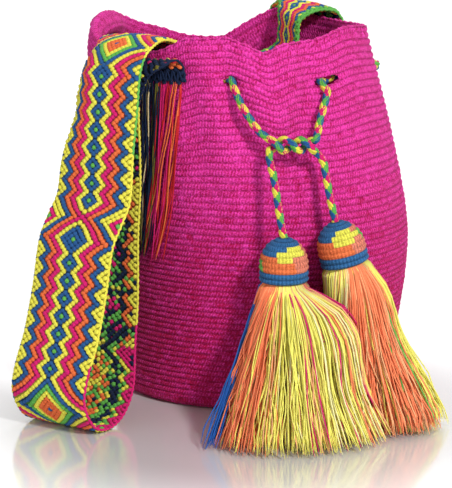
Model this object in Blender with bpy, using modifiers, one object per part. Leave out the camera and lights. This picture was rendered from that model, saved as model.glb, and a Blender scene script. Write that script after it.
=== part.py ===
"""Crocheted bucket bag with a drawstring mouth, two tassels and a wide patterned shoulder strap.

Units are metres. +Z is up, +X is to the right and -Y is towards the viewer. The origin is the
middle of the flat round base. Azimuths are in degrees, seen from above: 0 is the front (-Y) and
90 is the right (+X). What lies on the bag is placed by its azimuth, its height and its distance
outside the bag's wall, so that it follows the bag when a size changes.
"""
import math

import bmesh
import bpy
from mathutils import Matrix, Vector

# Body: height of the rim and the half sizes of four level sections
BODY_HEIGHT = 0.312
BASE_RADIUS = 0.118
BELLY_SHARE = 0.39
BELLY_HALF_WIDTH = 0.127
BELLY_HALF_DEPTH = 0.120
BELLY_SHIFT = 0.008
SHOULDER_SHARE = 0.65
SHOULDER_HALF_WIDTH = 0.124
SHOULDER_HALF_DEPTH = 0.118
MOUTH_HALF_WIDTH = 0.1195
MOUTH_HALF_DEPTH = 0.112
MOUTH_SHIFT = -0.0225
WALL = 0.0036
BASE_EDGE = 0.008
RIDGES = 24
RIDGE_DEPTH = 0.0018
RIM_BAND = 0.010
BODY_STEPS = 40

# Eyelets and the drawstring through them
EYELET_DROP = 0.037
EYELET_WIDTH = 0.024
EYELET_HEIGHT = 0.0145
EYELET_AZIMUTHS = (-1.5, 38, 98, 120, 180, 202, 222, 248)
CORD_DIAMETER = 0.008
TWIST_RADIUS = 0.0049
TWIST_TURNS = 1.5

# Shoulder strap, its fringes and its sewing yarn
STRAP_WIDTH = 0.080
STRAP_THICKNESS = 0.004
STRAP_ROWS = 84
TOOTH_SHARE = 0.06
STRAP_END_RISE = 0.0004
FRINGE_LENGTH = 0.158
FRINGE_THICKNESS = 0.0032
FRINGE_RIBS = 8
FRINGE_ROWS = 5
FRINGE_RIDGE = 0.0010
FRINGE_NARROWING = 0.24
FRINGE_TRIM = 0.10
FRINGE_LEAN_LEFT = -11
FRINGE_LEAN_RIGHT = 3
SEAM_YARN_DIAMETER = 0.0016
SEAM_STITCHES = 7

# Tassels
CAP_RADIUS = 0.020
CAP_HEIGHT = 0.041
CAP_WALL = 0.003
CAP_STRAIGHT_SHARE = 0.45
CAP_ROUND_DEPTH = 0.0007
NECK_RADIUS = 0.0134
NECK_INSIDE_CAP = 0.010
BINDING_WIDTH = 0.0022
BINDING_TURNS = 2
BINDING_STEPS = 14
KNOT_RADIUS = 0.007
SKIRT_RIBS = 26
SKIRT_RIDGE = 0.0045
SKIRT_BOW = 0.004

# Clearance between neighbours, and what is set by it
GAP = 0.0003
KNOT_SEAT = 0.002
KNOT_CENTRE = NECK_INSIDE_CAP + GAP + KNOT_RADIUS + KNOT_SEAT
PASS_CLEARANCE = 0.0027

# The strap's colour fields from its left edge to its right one, and the finish of each
FIELD_EDGES = (-0.5, -0.38, -0.26, -0.13, 0.13, 0.26, 0.38, 0.5)
FIELD_FINISHES = (0, 1, 2, 3, 2, 1, 0)

# The rim's wave: (azimuth, height above or below BODY_HEIGHT)
RIM_WAVE = (
    (-17, 0.003), (-7, 0.004), (0, 0.0045), (8, -0.0015), (14, -0.008), (23, -0.0025),
    (38, -0.001), (56, 0.006), (80, 0.001), (106, -0.005), (122, -0.0065), (140, -0.006),
    (157, -0.002), (166, -0.0085), (176, -0.019), (185, -0.028), (200, -0.026), (213, -0.017),
    (222, -0.012),
    (232, -0.004), (241, 0.0015), (260, 0.005), (275, 0.003), (288, -0.005), (299, -0.013),
    (315, -0.012), (329, -0.009), (335, -0.005), (340, 0.0))

# Gathers that the drawstring pulls in: azimuth at the eyelets, azimuth at the belly, bow of the
# valley between them, half width (degrees) and depth; a negative depth stands proud
GATHERS = (
    (-2, 3, 0, 6, 0.006), (33, 20, -11, 7, 0.008), (-20, -20, 0, 7, 0.004), (11, 11, 0, 7, -0.002),
    (98, 100, 0, 7, 0.004), (120, 118, 0, 7, 0.004), (180, 180, 0, 7, 0.004),
    (202, 200, 0, 7, 0.004), (222, 224, 0, 7, 0.004), (248, 246, 0, 7, 0.004))
GATHER_FOOT = 0.30

# The soft corner at the left of the mouth, which bulges out under an inward-turned rim
CORNER_AZIMUTH = 262
CORNER_SPREAD = 24
CORNER_BULGE = 0.005

# The strap from its left seam to its right one. Each station: azimuth, distance from the wall to
# the strap's near face, height as a share of BODY_HEIGHT, heading of the strap's width (degrees
# from +X towards -Y), rise of its right edge (degrees), bend across it (1/m), share of its width
STRAP_PATH = (
    (-37.5, 0.0010, 0.887, 35.7, 0, 8.5, 1.00),
    (-37.5, 0.0010, 0.926, 35.7, 0, 8.5, 1.00),
    (-37.9, 0.0055, 0.942, 36, 0, 4.0, 1.00),
    (-39.0, 0.0130, 0.940, 36, 0, 0.0, 1.00),
    (-42.3, 0.0170, 0.923, 37, 0, 1.0, 1.00),
    (-45.2, 0.0185, 0.905, 37, 0, 2.0, 1.00),
    (-48.4, 0.0210, 0.868, 37, 0, 1.0, 1.00),
    (-50.6, 0.0240, 0.820, 37, 0, 1.0, 1.00),
    (-53.4, 0.0250, 0.710, 37, 0, 1.0, 1.00),
    (-55.8, 0.0260, 0.600, 37, 0, 1.0, 1.00),
    (-57.0, 0.0300, 0.465, 37, 0, 1.0, 1.00),
    (-56.5, 0.0330, 0.300, 37, 0, 1.0, 1.00),
    (-53.3, 0.0420, 0.170, 37, 0, 0.5, 1.00),
    (-48.2, 0.0560, 0.075, 37, 0, 0.0, 1.00),
    (-45.5, 0.0750, 0.018, 37, 0, 0.0, 1.00),
    (-44.1, 0.0960, 0.000, 37, 0, 0.0, 1.00),
    (-43.5, 0.1140, 0.018, 37, 0, 0.0, 1.00),
    (-43.5, 0.1260, 0.083, 37, 0, 1.0, 1.00),
    (-43.8, 0.1230, 0.150, 37, 0, 2.0, 1.00),
    (-43.7, 0.1140, 0.243, 37, 0, 4.0, 1.00),
    (-44.0, 0.1030, 0.368, 37, 0, 5.0, 1.00),
    (-44.3, 0.0920, 0.487, 37, 0, 5.0, 1.00),
    (-43.6, 0.0820, 0.548, 37, 0, 5.0, 1.00),
    (-43.0, 0.0720, 0.602, 38, 0, 5.0, 1.00),
    (-42.8, 0.0610, 0.718, 39, 0, 5.0, 1.00),
    (-42.3, 0.0490, 0.820, 40, 1, 5.0, 1.00),
    (-42.0, 0.0355, 0.923, 42, 2, 5.0, 1.00),
    (-42.2, 0.0220, 0.966, 45, 3, 4.0, 1.00),
    (-43.0, 0.0050, 0.987, 49, 4, 4.0, 1.00),
    (-45.5, -0.0150, 0.992, 51, 5, 3.0, 1.00),
    (-47.5, -0.0330, 0.978, 51, 3, 2.0, 1.00),
    (-50.5, -0.0540, 0.940, 49, 0, 1.0, 1.00),
    (-68.0, -0.0860, 0.880, 46, 0, 1.0, 1.00),
    (-150.0, -0.1000, 0.858, 46, 0, 1.0, 1.00),
    (156.0, -0.0620, 0.862, 60, 0, 1.0, 0.92),
    (146.0, -0.0415, 0.890, 71, 0, 1.0, 0.84),
    (144.5, -0.0350, 0.940, 72, 0, 2.0, 0.80),
    (143.0, -0.0310, 0.990, 70, -3, 2.0, 0.80),
    (143.5, -0.0190, 1.016, 61, -3, 2.0, 0.84),
    (145.0, -0.0045, 1.017, 51, -1, 3.0, 0.90),
    (146.5, 0.0085, 0.998, 42, 0, 6.0, 0.96),
    (147.0, 0.0105, 0.968, 35, 0, 8.5, 1.00),
    (147.0, 0.0030, 0.934, 32, 0, 8.5, 1.00),
    (147.0, 0.0010, 0.895, 31.4, 0, 8.5, 1.00))

# The drawstring's free stretches: azimuth, height and distance of its middle outside the wall
LEFT_TAIL = (
    (6.7, 0.1600, 0.0310), (6.5, 0.1710, 0.0290), (6.5, 0.1820, 0.0260), (6.7, 0.1940, 0.0220),
    (6.8, 0.2060, 0.0180), (6.6, 0.2160, 0.0150))
RIGHT_TAIL = (
    (24.7, 0.1730, 0.0225), (24.6, 0.1830, 0.0210), (24.9, 0.1950, 0.0190), (25.2, 0.2060, 0.0170),
    (25.4, 0.2150, 0.0155))
LEFT_RUN = ((5.0, 0.2410, 0.0090), (3.0, 0.2500, 0.0068), (1.2, 0.2590, 0.0062))
RIGHT_RUN = ((27.0, 0.2380, 0.0090), (29.8, 0.2470, 0.0060), (33.2, 0.2570, 0.0040))
TWIST_LEFT = (7.6, 0.2300, 0.0128)
TWIST_RIGHT = (24.2, 0.2275, 0.0128)
TWIST_POINTS = 12

# Where each tassel's cap ends below: azimuth, distance outside the wall, height, tilt (degrees)
LEFT_CAP = (6.2, 0.0310, 0.116, 0.0)
RIGHT_CAP = (27.2, 0.0250, 0.126, 13.5)

# How far the strands reach over the ground from each cap: (azimuth about the cap, reach)
LEFT_REACH = (
    (-180, 0.016), (-120, 0.036), (-80, 0.066), (-55, 0.094), (-38, 0.106), (-15, 0.115),
    (5, 0.118), (20, 0.116), (31, 0.112), (40, 0.074), (62, 0.040), (110, 0.022))
RIGHT_REACH = (
    (-180, 0.014), (-90, 0.012), (-45, 0.024), (-8, 0.052), (1, 0.088), (10, 0.098), (24, 0.096),
    (45, 0.096), (62, 0.094), (76, 0.088), (95, 0.066), (130, 0.032))

MAGENTA = (0.68, 0.02, 0.28)
YELLOW = (0.86, 0.70, 0.06)
ORANGE = (0.86, 0.13, 0.05)
PINK = (0.62, 0.02, 0.18)
BLUE = (0.03, 0.11, 0.32)
GREEN = (0.11, 0.42, 0.10)


def smoothstep(value):
    """Ease from 0 to 1."""
    value = min(max(value, 0.0), 1.0)
    return value * value * (3 - 2 * value)


def smooth_curve(points, where):
    """Value at a position on the smooth curve through (position, vector) points."""
    last = len(points) - 1
    where = min(max(where, points[0][0]), points[last][0])
    first = max(k for k in range(last) if points[k][0] <= where)
    start, end = points[first], points[first + 1]
    span = end[0] - start[0]
    u = (where - start[0]) / span

    def slope(k):
        before, after = points[max(k - 1, 0)], points[min(k + 1, last)]
        return (after[1] - before[1]) / (after[0] - before[0])

    return (start[1] * (1 + 2 * u) * (1 - u) ** 2 + slope(first) * (span * u * (1 - u) ** 2)
            + end[1] * (u * u * (3 - 2 * u)) + slope(first + 1) * (span * u * u * (u - 1)))


def section(height):
    """Sideways shift, half width and half depth of the body at a height."""
    stations = (
        (0.0, Vector((0.0, BASE_RADIUS, BASE_RADIUS))),
        (BELLY_SHARE, Vector((BELLY_SHIFT, BELLY_HALF_WIDTH, BELLY_HALF_DEPTH))),
        (SHOULDER_SHARE, Vector((0.0, SHOULDER_HALF_WIDTH, SHOULDER_HALF_DEPTH))),
        (1.0, Vector((MOUTH_SHIFT, MOUTH_HALF_WIDTH, MOUTH_HALF_DEPTH))))
    return smooth_curve(stations, height / BODY_HEIGHT)


def rim_lift(azimuth):
    """Height of the rim above BODY_HEIGHT at an azimuth."""
    first = RIM_WAVE[0][0]
    azimuth = (azimuth - first) % 360 + first
    before = [(RIM_WAVE[-1][0] - 360, RIM_WAVE[-1][1])]
    after = [(a + 360, lift) for a, lift in RIM_WAVE[:2]]
    return smooth_curve(before + list(RIM_WAVE) + after, azimuth)


def wave_at(azimuth, height):
    """How far the rim's wave moves a point of the wall up or down."""
    return rim_lift(azimuth) * smoothstep((height / BODY_HEIGHT - 0.5) / 0.5)


def turn_between(azimuth, centre):
    """Signed angle from centre to azimuth."""
    return (azimuth - centre + 180) % 360 - 180


def gather_depth(azimuth, height):
    """How far the gathers draw the wall in; less than 0 where it stands proud."""
    share = height / BODY_HEIGHT
    eyelets = 1 - EYELET_DROP / BODY_HEIGHT
    rise = min(max((share - GATHER_FOOT) / (eyelets - GATHER_FOOT), 0.0), 1.0)
    strength = smoothstep(rise) * (1 - 0.5 * smoothstep((share - eyelets) / (1 - eyelets)))
    depth = 0.0
    for top, low, bow, spread, amount in GATHERS:
        valley = low + (top - low) * rise + bow * 4 * rise * (1 - rise)
        depth += amount * math.exp(-(turn_between(azimuth, valley) / spread) ** 2)
    corner = math.exp(-(turn_between(azimuth, CORNER_AZIMUTH) / CORNER_SPREAD) ** 2)
    swell = math.sin(min(max((share - 0.80) / 0.13, 0.0), 2.0) * math.pi * 0.75)
    return depth * strength - CORNER_BULGE * corner * swell


def wall_point(azimuth, height, outside=0.0, gathered=False):
    """Point at a distance outside the body's wall."""
    shift, half_width, half_depth = section(height)
    if gathered:
        outside -= gather_depth(azimuth, height)
    angle = math.radians(azimuth)
    return Vector((shift + (half_width + outside) * math.sin(angle),
                   -(half_depth + outside) * math.cos(angle), height))


def outward(azimuth):
    """Level direction away from the body at an azimuth."""
    angle = math.radians(azimuth)
    return Vector((math.sin(angle), -math.cos(angle), 0.0))


def material(name, colour, roughness=0.85):
    """Matte yarn of one colour."""
    finish = bpy.data.materials.new(name)
    finish.use_nodes = True
    shader = finish.node_tree.nodes["Principled BSDF"]
    shader.inputs["Base Color"].default_value = (*colour, 1.0)
    shader.inputs["Roughness"].default_value = roughness
    return finish


def add_object(name, data, finishes, collection):
    """Link new data as an object with its materials."""
    thing = bpy.data.objects.new(name, data)
    collection.objects.link(thing)
    for finish in finishes:
        data.materials.append(finish)
    return thing


def apply_modifiers(thing):
    """Swap an object's mesh for its evaluated one."""
    bpy.context.view_layer.update()
    evaluated = thing.evaluated_get(bpy.context.evaluated_depsgraph_get())
    shaped = bpy.data.meshes.new_from_object(evaluated)
    thing.modifiers.clear()
    thing.data = shaped


def turned(name, profile, steps, finish, collection, closed=False):
    """Turn a profile of (radius, height) points about Z."""
    count = len(profile)
    edges = [(i, (i + 1) % count) for i in range(count if closed else count - 1)]
    mesh = bpy.data.meshes.new(name)
    mesh.from_pydata([(radius, 0.0, height) for radius, height in profile], edges, [])
    thing = add_object(name, mesh, [finish], collection)
    screw = thing.modifiers.new("turn", "SCREW")
    screw.steps = steps
    screw.render_steps = steps
    screw.use_merge_vertices = True
    screw.merge_threshold = 0.00001
    return thing


def tube(name, points, diameter, finish, collection):
    """Round cord with filled ends through points."""
    curve = bpy.data.curves.new(name, "CURVE")
    curve.dimensions = "3D"
    curve.bevel_depth = diameter / 2
    curve.bevel_resolution = 2
    curve.use_fill_caps = True
    spline = curve.splines.new("POLY")
    spline.points.add(len(points) - 1)
    for target, point in zip(spline.points, points):
        target.co = (*point, 1.0)
    return add_object(name, curve, [finish], collection)


def body_profile():
    """Closed profile of the bag: inside, over the rim, down the ridged outside, base."""
    inner = BASE_RADIUS - WALL
    profile = [(0.0, WALL), (inner - BASE_EDGE, WALL), (inner, WALL + BASE_EDGE)]
    inner_rings = 14
    for ring in range(1, inner_rings):
        profile.append((inner, WALL + BASE_EDGE
                        + (BODY_HEIGHT - RIM_BAND - WALL - BASE_EDGE) * ring / (inner_rings - 1)))
    profile += [(inner + 0.0004, BODY_HEIGHT - 0.0008), (BASE_RADIUS - WALL / 2, BODY_HEIGHT),
                (BASE_RADIUS + 0.0002, BODY_HEIGHT - 0.0010),
                (BASE_RADIUS + 0.0002, BODY_HEIGHT - RIM_BAND + 0.0020)]
    top = BODY_HEIGHT - RIM_BAND
    pitch = (top - BASE_EDGE) / RIDGES
    for ridge in range(RIDGES):
        profile.append((BASE_RADIUS - RIDGE_DEPTH, top - pitch * ridge))
        profile.append((BASE_RADIUS, top - pitch * (ridge + 0.5)))
    profile += [(BASE_RADIUS - RIDGE_DEPTH, BASE_EDGE), (BASE_RADIUS - BASE_EDGE * 0.3, BASE_EDGE * 0.3),
                (BASE_RADIUS - BASE_EDGE, 0.0), (0.0, 0.0)]
    return profile


def eyelet_height(azimuth):
    """Height of the eyelets' middle, which follows the rim's wave."""
    level = BODY_HEIGHT - EYELET_DROP
    return level + wave_at(azimuth, level)


def eyelet_cutter(collection):
    """One object with a level oval cutter at each eyelet."""
    cutters = bmesh.new()
    for azimuth in EYELET_AZIMUTHS:
        centre = wall_point(azimuth, eyelet_height(azimuth), -WALL / 2, gathered=True)
        turn = Matrix.Rotation(math.radians(azimuth), 4, "Z") @ Matrix.Rotation(math.pi / 2, 4, "X")
        size = Matrix.Diagonal((EYELET_WIDTH / 2, EYELET_HEIGHT / 2, 1.0, 1.0))
        bmesh.ops.create_cone(cutters, cap_ends=True, segments=12, radius1=1.0, radius2=1.0,
                              depth=WALL * 6, matrix=Matrix.Translation(centre) @ turn @ size)
    mesh = bpy.data.meshes.new("eyelet_cutter")
    cutters.to_mesh(mesh)
    cutters.free()
    cutter = add_object("eyelet_cutter", mesh, [], collection)
    cutter.hide_render = True
    cutter.display_type = "WIRE"
    return cutter


def make_body(finish, parts, cutters):
    """The crocheted bag: turned, then drawn into its soft shape, then pierced."""
    body = turned("bag_body", body_profile(), BODY_STEPS, finish, parts)
    apply_modifiers(body)
    for vertex in body.data.vertices:
        x, y, height = vertex.co
        share = math.hypot(x, y) / BASE_RADIUS
        azimuth = math.degrees(math.atan2(x, -y))
        height += wave_at(azimuth, height)
        shift, half_width, half_depth = section(height)
        drawn = gather_depth(azimuth, height)
        direction = outward(azimuth)
        vertex.co = (shift + share * (half_width - drawn) * direction.x,
                     share * (half_depth - drawn) * direction.y, height)
    body.data.shade_smooth()
    body.data.set_sharp_from_angle(angle=math.radians(40))
    holes = body.modifiers.new("eyelets", "BOOLEAN")
    holes.operation = "DIFFERENCE"
    holes.solver = "EXACT"
    holes.object = eyelet_cutter(cutters)
    return body


def strap_stations():
    """Strap stations as (length along the strap, centre), (length, attitude) lists."""
    centres, attitudes = [], []
    length, last = 0.0, None
    for azimuth, clearance, share, heading, rise, bend, width in STRAP_PATH:
        height = share * BODY_HEIGHT + STRAP_THICKNESS / 2
        centre = wall_point(azimuth, height, clearance + STRAP_THICKNESS / 2)
        if last is not None:
            length += (centre - last).length
        last = centre
        centres.append((length, centre))
        attitudes.append((length, Vector((heading, rise, bend, width))))
    return centres, attitudes


def strap_point(stations, where, across):
    """Point of the strap's middle surface; across runs from -0.5 (left edge) to 0.5 (right)."""
    centres, attitudes = stations
    step = 0.001
    centre = smooth_curve(centres, where)
    along = smooth_curve(centres, where + step) - smooth_curve(centres, where - step)
    heading, rise, bend, width = smooth_curve(attitudes, where)
    level = math.cos(math.radians(rise))
    side = Vector((math.cos(math.radians(heading)) * level, -math.sin(math.radians(heading)) * level,
                   math.sin(math.radians(rise))))
    face = side.cross(along).normalized()
    reach = across * STRAP_WIDTH * width
    point = centre + side * reach - face * (bend * reach * reach / 2)
    point.z = max(point.z, STRAP_THICKNESS / 2)
    return point


def make_strap(stations, finishes, parts):
    """Woven strap: a ribbon whose zigzag colour fields run its whole length."""
    fields = len(FIELD_EDGES) - 1
    grid = bmesh.new()
    bmesh.ops.create_grid(grid, x_segments=fields, y_segments=STRAP_ROWS, size=1.0)
    length = stations[0][-1][0]
    for vertex in grid.verts:
        column = round((vertex.co.x + 1) / 2 * fields)
        row = round((vertex.co.y + 1) / 2 * STRAP_ROWS)
        across = FIELD_EDGES[column]
        if 0 < column < fields:
            across += math.copysign(TOOTH_SHARE / 2, across) * (1 if row % 2 else -1)
        vertex.co = strap_point(stations, length * row / STRAP_ROWS, across)
    for face in grid.faces:
        columns = sorted(vertex.index % (fields + 1) for vertex in face.verts)
        face.material_index = FIELD_FINISHES[columns[0]]
    mesh = bpy.data.meshes.new("shoulder_strap")
    grid.to_mesh(mesh)
    grid.free()
    strap = add_object("shoulder_strap", mesh, finishes, parts)
    mesh.shade_smooth()
    thickness = strap.modifiers.new("thickness", "SOLIDIFY")
    thickness.thickness = STRAP_THICKNESS
    thickness.offset = 0.0
    return strap


def make_fringe(name, stations, end, lean, finish, parts):
    """Warp ends that hang down the wall from one end of the strap."""
    length = stations[0][-1][0]
    where = length if end else 0.0
    grid = bmesh.new()
    bmesh.ops.create_grid(grid, x_segments=FRINGE_RIBS * 2, y_segments=FRINGE_ROWS, size=1.0)
    for vertex in grid.verts:
        across = vertex.co.x / 2 * 0.96
        fall = (1 - vertex.co.y) / 2
        rib = round((vertex.co.x + 1) * FRINGE_RIBS)
        top = strap_point(stations, where, across)
        shift, half_width, half_depth = section(top.z)
        azimuth = math.degrees(math.atan2((top.x - shift) / half_width, -top.y / half_depth))
        middle = STRAP_PATH[-1 if end else 0][0]
        azimuth = middle + (azimuth - middle) * (1 - FRINGE_NARROWING * fall) + lean * fall
        strand_length = FRINGE_LENGTH * (1 - FRINGE_TRIM * (rib * 5 % 7) / 6)
        height = top.z - GAP - STRAP_END_RISE - strand_length * fall
        ridge = FRINGE_RIDGE / 2 * (1 if rib % 2 else -1)
        vertex.co = wall_point(azimuth, height, GAP + (FRINGE_THICKNESS + FRINGE_RIDGE) / 2 + ridge)
    mesh = bpy.data.meshes.new(name)
    grid.to_mesh(mesh)
    grid.free()
    fringe = add_object(name, mesh, [finish], parts)
    thickness = fringe.modifiers.new("thickness", "SOLIDIFY")
    thickness.thickness = FRINGE_THICKNESS
    thickness.offset = 0.0
    return fringe


def make_seam_yarn(name, stations, end, finish, parts):
    """Zigzag of sewing yarn over the strap's sewn end."""
    length = stations[0][-1][0]
    points = []
    for stitch in range(2 * SEAM_STITCHES + 1):
        across = (stitch / (2 * SEAM_STITCHES) - 0.5) * 0.9
        inset = 0.0006 + (length / STRAP_ROWS - 0.0012 if stitch % 2 else 0.0)
        where = length - inset if end else inset
        point = strap_point(stations, where, across)
        step = 0.001
        along = strap_point(stations, where + step, across) - strap_point(stations, where - step, across)
        side = strap_point(stations, where, across + step) - strap_point(stations, where, across - step)
        face = side.cross(along).normalized()
        points.append(point + face * (STRAP_THICKNESS / 2 + SEAM_YARN_DIAMETER / 2 + 3 * GAP))
    return tube(name, points, SEAM_YARN_DIAMETER, finish, parts)


def cap_frame(cap):
    """Matrix of a tassel: origin at the cap's lower edge, +Z up through the cap."""
    azimuth, outside, height, tilt = cap
    return (Matrix.Translation(wall_point(azimuth, height, outside))
            @ Matrix.Rotation(math.radians(-tilt), 4, "Y"))


def twist_point(share, phase):
    """Point of one cord where the two wind round each other."""
    start, end = Vector(TWIST_LEFT), Vector(TWIST_RIGHT)
    azimuth, height, outside = start.lerp(end, share)
    angle = phase + share * TWIST_TURNS * math.tau
    return (wall_point(azimuth, height, outside)
            + Vector((0.0, 0.0, TWIST_RADIUS * math.cos(angle)))
            + outward(azimuth) * TWIST_RADIUS * math.sin(angle))


def hidden_run():
    """The drawstring from outside the right front eyelet, round the bag, to outside the left one."""
    inside = -(WALL + CORD_DIAMETER / 2 + PASS_CLEARANCE)
    outside = CORD_DIAMETER / 2 + 4 * GAP
    half_step = 4.2
    stops = list(EYELET_AZIMUTHS[1:]) + [EYELET_AZIMUTHS[0] + 360]
    points = [(stops[0] - 1.0, outside + GAP, -EYELET_HEIGHT * 0.4), (stops[0], -WALL / 2, 0.002)]
    within = True
    for stop, after in zip(stops, stops[1:]):
        beyond = inside if within else outside
        free = after - stop - 2 * half_step
        count = max(int(free // 12), 0 if within else 1)
        for k in range(count + 2):
            points.append((stop + half_step + free * k / (count + 1), beyond, 0.0))
        points.append((after, -WALL / 2, 0.0))
        within = not within
    points[-1] = (stops[-1], -WALL / 2, 0.002)
    points.append((stops[-1] + 0.8, outside + GAP, -EYELET_HEIGHT * 0.4))
    return [wall_point(azimuth, eyelet_height(azimuth) + rise, distance, gathered=True)
            for azimuth, distance, rise in points]


def drawstring_route():
    """The drawstring's route from the left tassel to the right one."""
    inside_cap = KNOT_CENTRE + KNOT_RADIUS + GAP
    left_end = cap_frame(LEFT_CAP) @ Vector((0.0, 0.0, inside_cap))
    left_top = cap_frame(LEFT_CAP) @ Vector((0.0, 0.0, CAP_HEIGHT))
    right_end = cap_frame(RIGHT_CAP) @ Vector((0.0, 0.0, inside_cap))
    right_top = cap_frame(RIGHT_CAP) @ Vector((0.0, 0.0, CAP_HEIGHT))
    shares = [k / (TWIST_POINTS - 1) for k in range(TWIST_POINTS)]
    lower = [twist_point(share, math.pi) for share in shares]
    upper = [twist_point(share, 0.0) for share in shares]
    return ([left_end, left_top] + [wall_point(a, h, d) for a, h, d in LEFT_TAIL] + lower
            + [wall_point(a, h, d) for a, h, d in RIGHT_RUN] + hidden_run()
            + [wall_point(a, h, d) for a, h, d in reversed(LEFT_RUN)] + upper
            + [wall_point(a, h, d) for a, h, d in reversed(RIGHT_TAIL)] + [right_top, right_end])


def cap_outline(inset):
    """Radius and height points of a cap's dome, from its top hole to its lower edge."""
    radius, top = CAP_RADIUS - inset, CAP_HEIGHT - inset
    straight = CAP_HEIGHT * CAP_STRAIGHT_SHARE
    points = []
    for k in range(7):
        angle = math.pi / 2 * (1 - k / 6)
        points.append((max(radius * math.cos(angle), CORD_DIAMETER / 2 + 2 * GAP),
                       straight + (top - straight) * math.sin(angle)))
    return points + [(radius, straight * share) for share in (0.75, 0.5, 0.25, 0.0)]


def make_tassel(side, cap, reach, finishes, parts):
    """A tassel: crocheted cap, the cord's knot, the tie round the neck and the strands."""
    frame = cap_frame(cap)
    outer = []
    for index, (radius, height) in enumerate(cap_outline(0.0)):
        outer.append((radius - (CAP_ROUND_DEPTH if index % 2 and index > 1 else 0.0), height))
    inner = list(reversed(cap_outline(CAP_WALL)))[::2]
    dome = turned(f"tassel_cap_{side}", outer + inner, 20, finishes["cap"], parts, closed=True)
    dome.matrix_world = frame

    knot_mesh = bmesh.new()
    bmesh.ops.create_uvsphere(knot_mesh, u_segments=10, v_segments=6, radius=KNOT_RADIUS)
    mesh = bpy.data.meshes.new(f"drawstring_knot_{side}")
    knot_mesh.to_mesh(mesh)
    knot_mesh.free()
    knot = add_object(f"drawstring_knot_{side}", mesh, [finishes["cord"]], parts)
    knot.matrix_world = frame @ Matrix.Translation((0.0, 0.0, KNOT_CENTRE))

    bore = (NECK_RADIUS + GAP) / math.cos(math.pi / BINDING_STEPS)
    ring = [(bore, NECK_INSIDE_CAP - 0.002)]
    turn_height = (NECK_INSIDE_CAP - 0.003) / BINDING_TURNS
    for turn in range(BINDING_TURNS):
        top = NECK_INSIDE_CAP - 0.002 - turn_height * turn
        ring.append((bore + BINDING_WIDTH * 0.7, top))
        ring.append((bore + BINDING_WIDTH, top - turn_height / 2))
    ring.append((bore + BINDING_WIDTH * 0.7, 0.001))
    ring.append((bore, 0.001))
    binding = turned(f"tassel_binding_{side}", ring, BINDING_STEPS, finishes["binding"], parts, closed=True)
    binding.matrix_world = frame

    profile = [(0.0, 1.0), (1.0, 1.0)] + [(1.0, share) for share in (0.9, 0.7, 0.5, 0.3, 0.12, 0.0)]
    skirt = turned(f"tassel_skirt_{side}", profile + [(0.0, 0.0)], SKIRT_RIBS * 2, finishes["skirt"], parts)
    apply_modifiers(skirt)
    shape_skirt(skirt.data, frame, reach)
    return dome


def shape_skirt(mesh, frame, reach):
    """Spread a turned unit cylinder from the tassel's neck to the strands' ends on the ground."""
    neck = frame @ Vector((0.0, 0.0, 0.0))
    ground = [(a, r) for a, r in reach] + [(a + 360, r) for a, r in reach[:2]]
    ground = [(reach[-1][0] - 360, reach[-1][1])] + ground
    for vertex in mesh.vertices:
        x, y, share = vertex.co
        radial = math.hypot(x, y)
        azimuth = math.degrees(math.atan2(x, -y))
        rib = round((azimuth + 180) / 360 * SKIRT_RIBS * 2)
        if share > 0.95:
            vertex.co = frame @ Vector((x * NECK_RADIUS, y * NECK_RADIUS, NECK_INSIDE_CAP))
            continue
        top = frame @ Vector((x * NECK_RADIUS, y * NECK_RADIUS, -0.001))
        wrapped = (azimuth - ground[0][0]) % 360 + ground[0][0]
        distance = smooth_curve(ground, wrapped) - (SKIRT_RIDGE if rib % 2 else 0.0)
        foot = Vector((neck.x, neck.y, 0.0)) + outward(azimuth) * distance * radial
        spread = 1 - share / 0.9
        bow = math.sin(math.pi * spread) * SKIRT_BOW * radial
        point = top.lerp(foot, spread) + outward(azimuth) * bow
        vertex.co = point


def build():
    """Make the whole bag."""
    for thing in list(bpy.data.objects):
        bpy.data.objects.remove(thing, do_unlink=True)
    parts = bpy.data.collections.new("crochet_bag")
    cutters = bpy.data.collections.new("bag_cutters")
    bpy.context.scene.collection.children.link(parts)
    bpy.context.scene.collection.children.link(cutters)

    magenta = material("magenta_crochet", MAGENTA)
    yellow = material("yellow_yarn", YELLOW)
    orange = material("orange_yarn", ORANGE)
    pink = material("pink_yarn", PINK)
    blue = material("blue_yarn", BLUE)
    green = material("green_yarn", GREEN)

    make_body(magenta, parts, cutters)
    stations = strap_stations()
    make_strap(stations, [yellow, orange, pink, blue], parts)
    make_fringe("strap_fringe_left", stations, False, FRINGE_LEAN_LEFT, orange, parts)
    make_fringe("strap_fringe_right", stations, True, FRINGE_LEAN_RIGHT, orange, parts)
    make_seam_yarn("strap_seam_yarn_left", stations, False, orange, parts)
    make_seam_yarn("strap_seam_yarn_right", stations, True, orange, parts)
    tube("drawstring", drawstring_route(), CORD_DIAMETER, green, parts)
    make_tassel("left", LEFT_CAP, LEFT_REACH,
                {"cap": blue, "cord": green, "binding": yellow, "skirt": yellow}, parts)
    make_tassel("right", RIGHT_CAP, RIGHT_REACH,
                {"cap": blue, "cord": green, "binding": yellow, "skirt": orange}, parts)


build()
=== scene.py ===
"""Looks of the crocheted bucket bag: stitches, woven strap, braided cord, tassels and light.

Everything is in metres in the frame of the solids: +X right, -Y towards the viewer, +Z up, with
the origin in the middle of the bag's base. Azimuths are in degrees, seen from above: 0 is the
front and 90 the right. What lies on the bag is placed by azimuth, height and distance outside.
"""

import math

import bpy
import numpy as np
from mathutils import Matrix, Vector


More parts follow.
